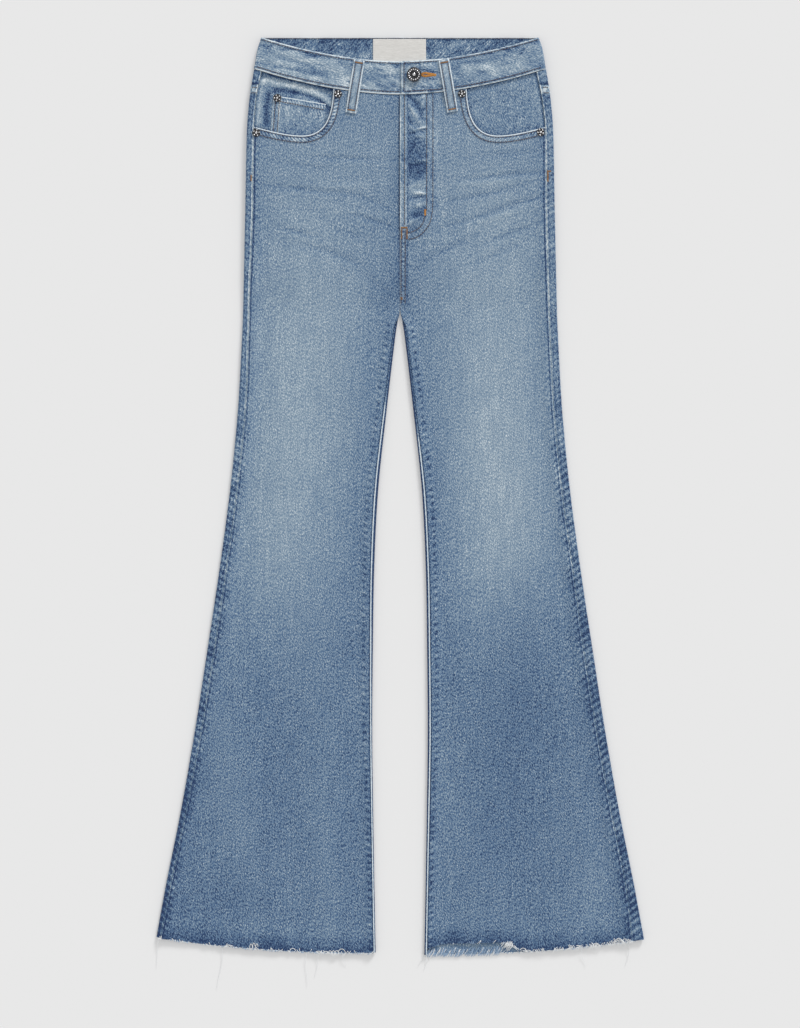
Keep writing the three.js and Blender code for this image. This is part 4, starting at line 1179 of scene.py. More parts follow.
BAND_SHADE_AND_SPOTS = (  # painted shade of creases, of the buttonhole's slit and beside the buttonhole, and a few paler spots: x, y, half width, half length, turn, change of the worn number
    (35, 1060.4, 1.8, 10, 98, -0.36),
    (39, 1051.0, 1.8, 10, 84, -0.36),
    (30.6, 1055.8, 0.8, 3.6, 90, -0.6),
    (10, 1062, 1.6, 6, 20, 0.2),
    (6.5, 1052, 1.6, 7, 10, -0.3),
    (66, 1064, 3.4, 9, 110, -0.34),
    (69, 1057, 2.2, 7, 96, -0.3),
    (90, 1072, 2.6, 14, 84, -0.24),
    (120, 1079, 2.4, 12, 78, -0.2),
    (112, 1066, 4.0, 18, 84, 0.1),
    (146, 1084, 2.0, 9, 40, -0.26),
    (158, 1079, 1.8, 8, 52, -0.22),
    (164, 1070, 2.4, 8, 84, -0.2),
    (-30, 1062, 2.6, 12, 94, -0.24),
    (-16, 1054, 2.4, 9, 84, -0.2),
    (-40, 1050, 2.2, 7, 90, -0.2),
    (-64, 1058, 4, 12, 80, -0.16),
    (-70, 1070, 3, 12, 104, -0.14),
    (-100, 1058, 2.4, 10, 104, -0.26),
    (-122, 1062, 2.4, 10, 106, -0.26),
    (-110, 1082, 2.2, 14, 104, -0.24),
    (-136, 1077, 5, 16, 104, 0.08),
    (-164, 1080, 2.6, 12, 74, -0.26),
    (6, 1042, 3, 6, 80, 0.2),
    (80, 1071, 1.6, 9, 96, -0.26),
    (98, 1060, 1.8, 10, 84, -0.26),
    (128, 1069, 1.8, 13, 78, -0.26),
    (152, 1074, 1.6, 9, 76, 0.2),
    (136, 1060, 1.8, 8, 84, 0.2),
    (22, 1067, 1.6, 8, 84, 0.2),
    (14, 1067, 1.4, 8, 100, -0.24),
    (-160, 1086, 2.4, 8, 50, -0.26),
    (-154, 1092, 2.4, 10, 62, -0.24),
    (-168, 1072, 1.6, 9, 60, -0.24),
    (-150, 1064, 2.0, 16, 74, -0.2),
)


def swooshes(x, y, turn, width, length, salt):
    """Worn streaks across the cloth, turned from level, of a width and length in millimetres."""
    cos, sin = math.cos(math.radians(turn)), math.sin(math.radians(turn))
    return uneven_area((x * cos + y * sin) / length, (y * cos - x * sin) / width, salt)


def waistband_sheet():
    stations = band_stations()
    columns = [band_column(*station) for station in stations]
    x, y, z = (np.stack([column[part] for column in columns], axis=1) for part in range(3))
    along = np.cumsum(np.append(0, np.hypot(np.diff(x[0]), np.diff(z[0]))))[None, :]
    angle = np.radians([station[2] for station in stations])[None, :]
    front = smooth(0, 1, np.sin(angle))
    height = BAND_ROWS[:, None] * (WAIST_TOP - WAIST_SEAM_SIDE)
    from_top = height[-1, 0] - height
    ropes = uneven(along + 0.8 * height, 3.6, 41) + 0.6 * uneven(along - 0.5 * height, 2.2, 43)
    slanted = 0.4 * swooshes(x, y, -26, 3.4, 13, 47) + 0.6 * swooshes(x, y, -12, 5.5, 30, 49)
    inner = 0.5 * swooshes(x, y, 46, 6, 22, 55)
    slanted = mix(inner, slanted, front)
    low_edge, high_edge = 1 - smooth(3, 6, height), 1 - smooth(3, 6, from_top)
    relief = 0.26 * ropes * low_edge + 0.16 * ropes * high_edge + 0.3 * slanted
    relief = relief - 0.5 * line(height, 0, 1.0) - 0.5 * line(from_top, 0, 1.0)
    relief = relief - 0.18 * line(height, 5.2, 1.0) - 0.18 * line(from_top, 4.6, 1.0)
    pits = np.maximum(swooshes(x, y, -10, 2.6, 9, 63) - 0.3, 0)
    pits = pits * (1 - smooth(6, 22, np.minimum(height, from_top)))
    wear_and_shade = 0.8 - 0.16 * smooth(-30, 60, x) + 0.1 * ropes * (low_edge + 0.5 * high_edge)
    # The table adds painted crease shade and a few paler spots to the band.
    wear_and_shade = wear_and_shade + 0.1 * np.maximum(slanted, 0) + 0.34 * np.minimum(slanted, 0) + patches(BAND_SHADE_AND_SPOTS, x, y)
    wear_and_shade = np.minimum(wear_and_shade - 0.6 * pits + 0.1 * swooshes(x, y, -6, 9, 24, 67), BAND_PALEST)
    wear_and_shade = wear_and_shade + 0.5 * line(height, 0.3, 0.9) + 0.4 * line(from_top, 0.3, 0.9)
    wear_and_shade = wear_and_shade - 0.42 * line(height, 2.9, 1.1) - 0.28 * line(from_top, 2.9, 1.3)
    inside = 0.45 - 0.03 * smooth(20, 80, x) + 0.4 * slanted
    inside = inside + 0.3 * line(from_top, 0.2, 0.7) - 0.2 * line(from_top, 2.6, 1.2)
    wear_and_shade = mix(inside, wear_and_shade, front)
    from_end = np.maximum(x - OVERLAP_EDGE, 0)
    raised = np.array([station[0] == RIGHT and station[2] > 0 for station in stations])[None, :]
    wear_and_shade = wear_and_shade + raised * (0.3 * line(from_end, 0.2, 1.2) - 0.2 * line(from_end, 3.4, 1.4))
    relief = relief - raised * 0.4 * line(from_end, 0, 1.0)
    out_x = np.array([station[0] for station in stations])[None, :] * np.cos(angle)
    return whole_sheet(x + relief * out_x, y, z + relief * np.sin(angle), wear_and_shade)


band = node_cloth("waistband", waistband_sheet(), [BAND_DENIM, BAND_INSIDE], BAND)

# %% [markdown]
# ## Pocket facings, coin pocket, back pockets and loops
# What lies on a panel or behind a pocket mouth is a small flat piece with turned edges. Four-cornered
# pieces share one recipe: a sheet whose edges roll down a little and wear pale, with a darker line just
# inside where the stitching pulls the cloth in. The facings, the back pockets and the front loops are
# fitted to what lies beside or under them.

# %% Small flat pieces


def patch_sheet(corners, counts, z, base, edges, roll=0.35, salt=0):
    """A sheet between four corners (lower left, lower right, upper right, upper left), with edges that wear
    pale.
    """
    u, v = np.meshgrid(spaced(counts[0], 0.7), spaced(counts[1], 0.7))
    a, b, c, d = (np.array(corner, float) for corner in corners)
    x = mix(mix(a[0], b[0], u), mix(d[0], c[0], u), v)
    y = mix(mix(a[1], b[1], u), mix(d[1], c[1], u), v)
    wide, high = np.hypot(*(b - a)), np.hypot(*(d - a))
    gaps = (u * wide, (1 - u) * wide, v * high, (1 - v) * high)
    wear_and_shade = np.full(x.shape, float(base)) + 0.05 * uneven_area(x / 7, y / 7, salt)
    relief = 0.08 * uneven_area(x / 5, y / 5, salt + 1)
    ticks = uneven(x + y, 3.1, salt + 2)
    for gap, strength in zip(gaps, edges):
        wear_and_shade = wear_and_shade + strength * (line(gap, 0.2, 1.1) + (0.25 * ticks - 0.5) * line(gap, 2.6, 1.2))
        rolled = roll * line(gap, 0, 0.9) + (0.1 - 0.1 * ticks) * line(gap, 2.4, 1.2)
        relief = relief - rolled * (strength > 0)
    return x, y, z + relief, wear_and_shade


FACING_TOP = {LEFT: 1.7 + HIP_LIFT + CLOTH, RIGHT: 2.7 + HIP_LIFT + CLOTH}
FACING_INNER, FACING_BOTTOM = 66, 970
FACING_WORN = {LEFT: 0.56, RIGHT: 0.54}
UPPER_RIDGE = ((-170, 1048), (-158, 1050), (-146, 1045), (-128, 1043), (-108, 1038), (-94, 1031), (-84, 1023))
FACING_RIDGES = {  # where the pocket bag lifts the facing: a line of places, half width, height, and change of the worn number, which paints a highlight on a lifted ridge and shade in a hollow
    LEFT: (
        (UPPER_RIDGE, 4.4, 0.5, 0.34),
        (((-156, 1057), (-138, 1053), (-118, 1049), (-98, 1044), (-82, 1040)), 2.6, -0.2, -0.4),
        (((-150, 1038.5), (-142, 1038.5), (-128, 1036)), 3.4, -0.6, -0.46),
        (((-128, 1036), (-112, 1032), (-98, 1027), (-84, 1016)), 2.0, -0.5, -0.44),
        (((-93, 1024), (-86, 1012)), 2.8, -0.2, -0.26),
        (((-158, 1034), (-160.5, 1018), (-160.5, 998)), 3.2, -0.5, -0.54),
        (((-173, 1044), (-171, 1020), (-172, 1000)), 4.6, 0.3, 0.22),
    ),
    RIGHT: (
        (((160, 1046), (120, 1040), (86, 1028)), 6, 0.2, 0.02),
        (((166, 1030), (150, 1000)), 5, 0.12, 0.02),
    ),
}


def painted_mouth_shade(x, y):
    """Painted shade of the mouth's edge: full under the front panel, and fading over a few millimetres beyond
    its edge.
    """
    gap, side = distance_to(mouth_path[::6], x, y)
    return 0.26 * np.exp(-np.maximum(-gap * side, 0) / 2.6)


def facing_sheet(leg):
    u, v = np.meshgrid(np.linspace(0, 1, 84), np.linspace(0, 1, 70))
    y = mix(FACING_BOTTOM, WAIST_SEAM_SIDE, v)
    for _ in range(3):
        x = mix(FACING_INNER, front_edges(leg, y)[0], u)
        y = mix(FACING_BOTTOM, waist_seam(x) - SEAM_GAP, v)
    blotches = uneven_area(x / 7, y / 7, 51)
    z = FACING_TOP[leg] + 0.1 * blotches
    wear_and_shade = FACING_WORN[leg] + 0.07 * blotches + 0.05 * uneven_area((x - y) / 3, (x + y) / 9, 53)
    # The last number of each ridge is painted light: a highlight on a lifted ridge, shade in a hollow.
    for path, width, height, painted_light in FACING_RIDGES[leg]:
        near = line(distance_to(np.array(path, float), x * leg, y)[0], 0, width)
        z = z + height * near
        wear_and_shade = wear_and_shade + painted_light * near
    below_band = waist_seam(x) - y
    beside_seam = front_edges(leg, y)[0] - x
    # Painted shade: a dark line just under the waistband's edge, and the mouth's painted shade beside the
    # front's edge.
    wear_and_shade = wear_and_shade - 0.2 * line(below_band, 0.6, 1.6) - painted_mouth_shade(x, y)
    wear_and_shade = wear_and_shade - 0.4 * line(beside_seam, 1.6, 0.9) + 0.1 * line(beside_seam, 4.5, 1.5)
    return whole_sheet(x * leg, y, z, wear_and_shade)


for leg, word in LEG_WORDS.items():
    node_cloth(f"pocket_facing_{word}", facing_sheet(leg), TWO_SIDES, CLOTH)

COIN_CLOTH = 1.0
COIN_TOP = 3.2 + HIP_LIFT + COIN_CLOTH
COIN_CORNERS = ((-156, 976), (-93, 976), (-89, 1021.5), (-152, 1032))
x, y, z, wear_and_shade = patch_sheet(COIN_CORNERS, (110, 60), COIN_TOP, 0.64, (0.24, 0.1, 0, 0.5), salt=61)
down_from_top = mix(1032, 1021.5, (x + 152) / 63) - y
from_left = x - mix(-156, -152, (y - 976) / 56)
hem_ticks = 0.8 * np.sin(2 * np.pi * (x + 0.3 * y) / 3.3) + 0.5 * uneven(x, 5.2, 63)
wear_and_shade = wear_and_shade + 0.3 * line(from_left, 8.4, 0.9) - 0.16 * line(from_left, 4.4, 1.4)
wear_and_shade = wear_and_shade + 0.05 * uneven_area(x / 2, y / 9, 65)
wear_and_shade = wear_and_shade - 0.1 * smooth(14, 40, down_from_top) * smooth(10, 20, from_left)
in_hem = smooth(1.2, 2.6, down_from_top) * (1 - smooth(5.2, 6.8, down_from_top))
below_hem = smooth(8.6, 10, down_from_top) * (1 - smooth(12, 30, down_from_top))
# The last term is the mouth's painted shade beside the front's edge.
wear_and_shade = wear_and_shade + hem_ticks * (0.3 * in_hem + 0.2 * below_hem) + 0.08 * in_hem - painted_mouth_shade(-x, y)
wear_and_shade = wear_and_shade - 0.16 * line(down_from_top, 8.6, 1.0)
z = z + 0.14 * hem_ticks * (in_hem + below_hem)
coin = node_cloth("coin_pocket", whole_sheet(x, y, z, wear_and_shade), TWO_SIDES, COIN_CLOTH)

BACK_PIECE_CLOTH = 1.5  # pockets and loops between the back panels and the table
TURNED_OVER = [WRONG_SIDE, WASHED_DENIM]  # for a piece whose outer face looks down
back_pockets = {}
for leg, word in LEG_WORDS.items():
    u, v = np.meshgrid(np.linspace(0, 1, 41), np.linspace(0, 1, 40))
    low_x, top_x = mix(36, 154, u), mix(30, 160, u)
    low_y = np.where(u < 0.5, mix(862, 838, u * 2), mix(838, 866, u * 2 - 1))
    y = mix(low_y, mix(968, 984, u), v)
    wear_and_shade = 0.62 + 0.2 * (line(u, 0, 0.02) + line(u, 1, 0.02) + line(v, 0, 0.02) + line(v, 1, 0.02))
    sheet = whole_sheet(mix(low_x, top_x, v) * leg, y, BACK_PIECE_CLOTH, wear_and_shade)
    back_pockets[leg] = node_cloth(f"back_pocket_{word}", sheet, TURNED_OVER, BACK_PIECE_CLOTH)

LOOP = {"width": 12.8, "cloth": 1.8, "bulge": 0.9}
FRONT_LOOPS = {"left": ((-48.7, 1073.4), (-59, 1010.5)), "right": ((52.6, 1073.8), (63.2, 1011.7))}
PANEL_TOP = HIP_LIFT + 2 * CLOTH + SEAM_GAP + HIP_LOFT


def loop_sheet(top, bottom, salt):
    """A belt loop: it starts on the panel, steps up onto the band and stands a little clear of it."""
    u, v = np.meshgrid(spaced(22, 0.7), np.linspace(0, 1, 96))
    top, bottom = np.array(top), np.array(bottom)
    along = top - bottom
    across = np.array((along[1], -along[0])) / np.hypot(*along)
    x = mix(bottom[0], top[0], v) + across[0] * LOOP["width"] * (u - 0.5)
    y = mix(bottom[1], top[1], v) + across[1] * LOOP["width"] * (u - 0.5)
    on_panel, on_band = PANEL_TOP + SEAM_GAP, FRONT_BAND_Z + BAND + SEAM_GAP
    bulge = LOOP["bulge"] * np.sin(np.pi * np.clip((v - 0.12) / 0.8, 0, 1)) ** 2
    z = mix(on_panel, on_band, smooth(0.14, 0.34, v)) + bulge + LOOP["cloth"]
    length = np.hypot(*along)
    edge, end = np.minimum(u, 1 - u) * LOOP["width"], np.minimum(v, 1 - v) * length
    ticks = uneven(v * length, 2.6, salt)
    slanted = uneven_area((x - 0.7 * y) / 3.5, (y + 0.6 * x) / 9, salt + 1)
    wear_and_shade = 0.66 + 0.08 * slanted + 0.34 * line(edge, 0.4, 1.2) + (0.1 * ticks - 0.28) * line(edge, 2.5, 0.8)
    wear_and_shade = wear_and_shade + 0.22 * line(end, 0.3, 1.0) - 0.24 * line(end, 4.6, 1.0) + 0.08 * line(edge, 6.4, 1.6)
    relief = -0.45 * line(edge, 0, 0.8) - 0.16 * line(edge, 2.5, 0.9) + 0.08 * slanted
    relief = relief - 0.5 * line(end, 0, 0.9) - 0.28 * line(end, 4.4, 1.2)
    return whole_sheet(x, y, z + relief, wear_and_shade)


front_loops = {}
for index, (word, (top, bottom)) in enumerate(FRONT_LOOPS.items()):
    sheet = loop_sheet(top, bottom, 71 + index)
    front_loops[word] = node_cloth(f"belt_loop_front_{word}", sheet, [LOOP_DENIM, WRONG_SIDE], LOOP["cloth"])

BACK_LOOP_LOW, BACK_LOOP_HIGH = 1040, WAIST_TOP - 1
back_loops = {}
BACK_LOOP_MIDDLES = {"left": -112, "centre": 0, "right": 112}
for word, middle in BACK_LOOP_MIDDLES.items():
    low, high = middle - LOOP["width"] / 2, middle + LOOP["width"] / 2
    corners = ((low, BACK_LOOP_LOW), (high, BACK_LOOP_LOW), (high, BACK_LOOP_HIGH), (low, BACK_LOOP_HIGH))
    sheet = whole_sheet(*patch_sheet(corners, (14, 50), BACK_PIECE_CLOTH, 0.66, (0, 0, 0, 0), salt=81))
    node = f"belt_loop_back_{word}"
    back_loops[word] = node_cloth(node, sheet, [WRONG_SIDE, LOOP_DENIM], BACK_PIECE_CLOTH)

# %% [markdown]
# ## The bare label
# A woven satin label is sewn inside the back of the band. Its real weave carries a name, and that is left
# off, so only the cream satin is made, with its fine ribs and its two turned ends.

# %% Label
label_shader = Shader("cream label satin")
ribs = label_shader.bands(0.5, 90)
fuzz = label_shader.noise(5, 1.2, detail=2.0)
cream = ((0.0, linear(196, 194, 190)), (1.0, linear(228, 226, 222)))
LABEL_SATIN = label_shader.surface(
    Base_Color=label_shader.ramp(fuzz, cream),
    Roughness=0.45,
    Sheen_Weight=0.3,
    Normal=label_shader.bump(ribs, 0.08),
)
LABEL = {"width": 63.6, "height": 31.4, "thick": 0.9, "x": -0.6, "top": 1099.6}
LABEL_TOP = HIP_LIFT + BAND + SEAM_GAP + LABEL["thick"]
low, high = LABEL["x"] - LABEL["width"] / 2, LABEL["x"] + LABEL["width"] / 2
low_y, high_y = LABEL["top"] - LABEL["height"], LABEL["top"]
corners = ((low, low_y), (high, low_y), (high, high_y), (low, high_y))
grids = patch_sheet(corners, (60, 30), LABEL_TOP, 0.5, (0.2, 0.2, 0.1, 0.1), roll=0.3, salt=91)
sheets = [whole_sheet(*grids)]
label = cloth_shell("label_satin", sheets, [LABEL_SATIN], LABEL["thick"], ["waist_label"])

# %% [markdown]
# ## Threads that lie on the cloth
# A stitch is a short arch of thread that dives into the cloth at both ends. For each one the lesson needs
# the height of the cloth under it, so it casts a ray straight down onto the finished pieces, or straight up
# onto the hidden side. The stitches of one colour on one side are joined into one mesh: thousands of small
# objects would be slow.

# %% Heights of the finished cloth, and tubes along lines
upper_pieces = [*front_panels.values(), *back_panels.values(), *yokes.values(), band, coin, label]
upper_pieces += [*front_loops.values(), *back_loops.values(), *back_pockets.values()]
cloth_trees = {}
for piece in upper_pieces:
    corners = [vertex.co for vertex in piece.data.vertices]
    cloth_trees[piece.name] = BVHTree.FromPolygons(corners, [face.vertices for face in piece.data.polygons])
ABOVE, BELOW = 30, -30  # where the rays start, in millimetres


def cloth_heights(points, upwards=False, only=None):
    """Height in millimetres of the outermost cloth at each place, seen from above, or from below."""
    start, direction = (BELOW, Vector((0, 0, 1))) if upwards else (ABOVE, Vector((0, 0, -1)))
    places = in_frame(np.column_stack((points, np.full(len(points), start))))
    trees = [tree for name, tree in cloth_trees.items() if only is None or name in only]
    heights = []
    for place in places:
        hits = [tree.ray_cast(Vector(place), direction)[0] for tree in trees]
        levels = [hit.z / MM for hit in hits if hit is not None]
        heights.append((min(levels) if upwards else max(levels)) if levels else np.nan)
    return np.array(heights)


def along_path(path, pitch):
    """Places about one pitch apart along a line of points."""
    path = np.array(path, float)
    lengths = np.append(0, np.cumsum(np.hypot(*np.diff(path, axis=0).T)))
    count = max(1, round(lengths[-1] / pitch))
    places = np.linspace(0, lengths[-1], count + 1)
    return np.stack([np.interp(places, lengths, column) for column in path.T], axis=1)


def tube_mesh(runs, radii, sides=5):
    """Points and faces of tubes along runs of points. radii has one radius for each point of a run."""
    points, faces, first = [], [], 0
    turn = np.linspace(0, 2 * np.pi, sides, endpoint=False)
    for run in runs:
        run = np.asarray(run, float)
        step = np.gradient(run, axis=0)
        step /= np.linalg.norm(step, axis=1)[:, None] + 1e-9
        upright = np.array((0.0, 0.0, 1.0)) if abs(step[0, 2]) < 0.9 else np.array((0.0, 1.0, 0.0))
        across = np.cross(step, upright)
        across /= np.linalg.norm(across, axis=1)[:, None] + 1e-9
        up = np.cross(across, step)
        radius = np.broadcast_to(radii, (len(run),))[:, None, None]
        ring = across[:, None, :] * np.cos(turn)[None, :, None] + up[:, None, :] * np.sin(turn)[None, :, None]
        points.append((run[:, None, :] + radius * ring).reshape(-1, 3))
        for row in range(len(run) - 1):
            for side in range(sides):
                a, b = first + row * sides + side, first + row * sides + (side + 1) % sides
                faces.append([a, b, b + sides, a + sides])
        for end, order in ((first, 1), (first + (len(run) - 1) * sides, -1)):
            faces.append([end + side for side in range(sides)][:: -order])
        first += len(run) * sides
    return np.concatenate(points), faces


TABLE_GAP = 0.4  # how far a thread may stand below the cloth that rests on the table
STITCH = {"length": 2.2, "pitch": 3.1, "radius": 0.46, "sink": 0.3, "rise": 0.22}


def stitches(path, upwards=False, only=None, pitch=STITCH["pitch"], salt=0):
    """Arched stitches along a line of places, as runs of points."""
    places = along_path(path, pitch)
    share = STITCH["length"] / STITCH["pitch"]
    shares = np.array((0.0, 0.22, 0.78, 1.0)) * share + (1 - share) / 2
    arch = np.array((-STITCH["sink"], STITCH["rise"], STITCH["rise"], -STITCH["sink"]))
    runs = []
    for index, (start, end) in enumerate(zip(places[:-1], places[1:])):
        flat = start + (end - start) * shares[:, None]
        step = (end - start) / (np.hypot(*(end - start)) + 1e-9)
        flat = flat + np.array((-step[1], step[0])) * 0.16 * (scatter(index, salt) - 0.5)
        heights = cloth_heights(flat, upwards, only)
        if np.isnan(heights).any() or np.ptp(heights) > 1.6:
            continue
        levels = np.maximum(heights - arch, STITCH["radius"] - TABLE_GAP) if upwards else heights + arch
        runs.append(np.column_stack((flat, levels)))
    return runs


TACK_RADII = (0.2, 0.3, 0.3, 0.3, 0.2)


def bartack(start, end, width, upwards=False, only=None, spacing=0.5):
    """A dense row of thread laid across a short line."""
    start, end = np.array(start, float), np.array(end, float)
    length = np.hypot(*(end - start))
    step = (end - start) / length
    side = np.array((-step[1], step[0])) * width / 2
    arch = np.array((-0.3, 0.15, 0.28, 0.15, -0.3))
    runs = []
    for index in range(int(length / spacing) + 1):
        middle = start + step * spacing * index
        reach = side * (0.92 + 0.16 * scatter(index, 5))
        flat = np.array([middle + reach * share + step * 0.2 * share for share in (-1, -0.6, 0, 0.6, 1)])
        heights = cloth_heights(flat, upwards, only)
        if np.isnan(heights).any():
            continue
        levels = np.maximum(heights - arch, max(TACK_RADII) - TABLE_GAP) if upwards else heights + arch
        runs.append(np.column_stack((flat, levels)))
    return runs


def thread_piece(name, runs, radii, materials, nodes=(), sides=5, choices=None):
    """A piece made of tubes. choices has the number of each tube's material, all 0 if left out."""
    points, faces = tube_mesh(runs, radii, sides)
    faces_each = [(len(run) - 1) * sides + 2 for run in runs]
    finishes = np.repeat(choices, faces_each) if choices is not None else None
    return settle(new_object(name, points, faces, materials, finishes=finishes), nodes)


# %% [markdown]
# ## Stitches that show on the front
# The topstitching is grey-brown and hardly stands out, so it reads as thin broken lines: two rows round
# each pocket mouth, the two lines of the fly with their curve, the rows of the waistband, the coin pocket
# and the loops. The bartacks are a warm rust colour, and only the buttonhole with its tack and one tack on
# the fly are orange.

# %% Stitch lines and tacks
tonal, rust, orange = [], [], []
for leg, word in LEG_WORDS.items():
    panel = {f"front_panel_{word}"}
    for away in MOUTH_STITCHES:
        tonal += stitches(beside_mouth(leg, away, 60) * (leg, 1), only=panel, salt=leg + away)

right_front = {"front_panel_right"}
fly_rows = (FLY_INNER_LINE, FLY_OUTER_LINE, FLY_LOWER_LINE, ((5.5, 1032), (5.5, 876)))
for number, row in enumerate(fly_rows, 1):
    tonal += stitches(row, only=right_front, salt=number)
for across in (1.3, 6.2):
    tonal += stitches(((across, 870), (across, 782)), only=right_front, salt=across)


def band_line(low_x, high_x, share_of, offset):
    """A line along the waistband at a distance from one of its edges."""
    x = np.linspace(low_x, high_x, 80)
    return np.column_stack((x, share_of(x) + offset))


band_only = {"waistband_cloth"}
for low_x, high_x in ((-172, -0.5), (4.8, 169)):
    tonal += stitches(band_line(low_x, high_x, waist_top, -2.3), only=band_only, salt=low_x)
    tonal += stitches(band_line(low_x, high_x, waist_seam, 3.4), only=band_only, salt=high_x)
tonal += stitches(((4.8, waist_seam(4.8) + 3.4), (4.8, waist_top(4.8) - 2.3)), only=band_only, salt=6)
back_edge = ((-164, WAIST_TOP - 1.2), (164, WAIST_TOP - 1.2))
tonal += stitches(back_edge, only=band_only, pitch=2.7, salt=7)

coin_only = {"coin_pocket_cloth"}
tonal += stitches(((-148, 1025.4), (-91.4, 1014.6)), only=coin_only, salt=8)
for gap in (2.6, 7.4):
    tonal += stitches(((-152 + gap, 1027), (-155 + gap, 984)), only=coin_only, salt=9 + gap)

for word, (top, bottom) in FRONT_LOOPS.items():
    top, bottom = np.array(top), np.array(bottom)
    along = (top - bottom) / np.hypot(*(top - bottom))
    across = np.array((along[1], -along[0]))
    loop_only = {f"belt_loop_front_{word}_cloth"}
    for side in (-4.0, 4.0):
        row = (bottom + along * 5 + across * side, top - along * 5 + across * side)
        tonal += stitches(row, only=loop_only, pitch=2.8, salt=side)
    for end, inwards in ((top, -1), (bottom, 1)):
        middle = end + along * inwards * 3.2
        rust += bartack(middle - across * 4.6, middle + across * 4.6, 1.9, only=loop_only)

for leg, word in LEG_WORDS.items():
    for down in (3.4, 10):
        level = YOKE_SIDE - down
        outer = section["side"](level) - 1.4
        row = ((leg * (outer - 6.6), level), (leg * outer, level))
        tonal += stitches(row, only={f"back_panel_{word}"}, pitch=2.2, salt=leg * down)
RUST_TACKS = (  # the piece, both ends and the width
    ("front_panel_right", (1.2, 872.8), (8.8, 872.8), 2.2),
    ("front_panel_right", (1.9, 871), (1.9, 859.4), 1.7),
    ("front_panel_right", (8.4, 871), (8.4, 859.4), 1.7),
    ("front_panel_right", (1.8, 789.4), (1.8, 781.4), 3.4),
    ("back_panel_right", (177.4, 941.4), (177.4, 928.4), 2.0),
    ("back_panel_right", (178.6, 940.6), (181.4, 940.6), 1.8),
    ("back_panel_left", (-178.6, 936), (-178.6, 929), 1.6),
)
for piece_name, start, end, width in RUST_TACKS:
    rust += bartack(start, end, width, only={piece_name})
orange += bartack((30.2, 894.6), (30.2, 887.6), 2.5, only=right_front)

BUTTONHOLE = ((25.8, 1055.8), (27, 1057.2), (31, 1057.7), (35.6, 1056.9), (41.6, 1056.1), (41.6, 1055.5),
              (35.6, 1054.7), (31, 1053.9), (27, 1054.4), (25.8, 1055.8))
places = along_path(BUTTONHOLE, 0.5)
for start, end in zip(places[:-1], places[1:]):
    orange += bartack(start, end, 3.1, only=band_only, spacing=5)
orange += bartack((41.2, 1055.8), (43.6, 1055.8), 3.6, only=band_only)

thread_piece("stitches_tonal", tonal, STITCH["radius"], [TONAL_THREAD])
thread_piece("tacks_rust", rust, TACK_RADII, [RUST_THREAD])
thread_piece("buttonhole_orange", orange, TACK_RADII, [ORANGE_THREAD])

# %% [markdown]
# ## Stitches on the hidden side
# The back has no picture, so it follows the front's sewing: two rows down the seat seam, along the yoke
# seams and round the back pockets. They lie on the underside, and they sink into the cloth so that nothing
# passes below the table.

# %% Hidden stitches
hidden = []
for leg in LEG_WORDS:
    for gap in (2.4, 8.0):
        x = np.linspace(12, 160, 50)
        hidden += stitches(np.column_stack((x * leg, yoke_seam(x) - gap)), upwards=True, salt=gap)
    hidden += stitches(((2.4 * leg, 800), (2.4 * leg, 975)), upwards=True, salt=leg)
    for gap in (2.6, 8.4):
        low = ((36 + gap, 863 + gap), (95, 840 + gap), (154 - gap, 867 + gap))
        sides = ((30 + gap, 966), *low, (160 - gap, 982))
        hidden += stitches(np.array(sides) * (leg, 1), upwards=True, salt=gap + leg)
    top_row = ((32, 960), (158, 975.6))
    hidden += stitches(np.array(top_row) * (leg, 1), upwards=True, salt=leg + 0.5)
hidden_tacks = []
for word, middle in BACK_LOOP_MIDDLES.items():
    for level in (WAIST_TOP - 4, 1044):
        ends = ((middle - 4.6, level), (middle + 4.6, level))
        hidden_tacks += bartack(*ends, 1.8, upwards=True, only={f"belt_loop_back_{word}_cloth"})

thread_piece("tacks_hidden", hidden_tacks, TACK_RADII, [RUST_THREAD])
thread_piece("stitches_hidden", hidden, STITCH["radius"], [TONAL_THREAD])

# %% [markdown]
# ## Button and rivets
# Metal parts are profiles turned round their own axis. The shank button has a domed rim, a ring of small
# beads and a bright cap in a dark hollow. The rivets have a nub and a few beads in a shallow dish. The
# metal's light and dark are painted: the beads, the nubs and the cap take a bright copy of the nickel as
# painted highlight, the button's rims a dark copy as painted shade, and the hollows a near-black finish as
# painted shade. The real button carries letters round its rim, and plain beads stand in their place.

# %% Metal finishes and turned parts


def metal(name, low, high, roughness):
    shader = Shader(name)
    wear = shader.noise(1.1, 1.1, detail=3.0)
    return shader.surface(
        Base_Color=shader.ramp(wear, ((0.3, low), (0.75, high))),
        Metallic=1.0,
        Roughness=roughness,
        Normal=shader.bump(wear, 0.05),
    )


# Two copies of the same nickel: the bright one is painted highlight on raised parts, the dark one painted
# shade.
LIT_NICKEL = metal("nickel with painted highlights", linear(196, 195, 196), linear(244, 244, 246), 0.24)
SHADED_NICKEL = metal("nickel with painted shade", linear(30, 30, 33), linear(110, 110, 114), 0.34)


def lathe(profile, sides, centre):
    """Points and faces of a profile of (radius, height) turned about an upright axis."""
    profile = np.array(profile, float)
    turn = np.linspace(0, 2 * np.pi, sides, endpoint=False)
    points = [np.column_stack((r * np.cos(turn), r * np.sin(turn), np.full(sides, h))) for r, h in profile]
    faces = []
    for row in range(len(profile) - 1):
        for side in range(sides):
            a, b = row * sides + side, row * sides + (side + 1) % sides
            faces.append([a, b, b + sides, a + sides])
    for row, order in ((0, -1), (len(profile) - 1, 1)):
        faces.append([row * sides + side for side in range(sides)][::order])
    return np.concatenate(points) + centre, faces


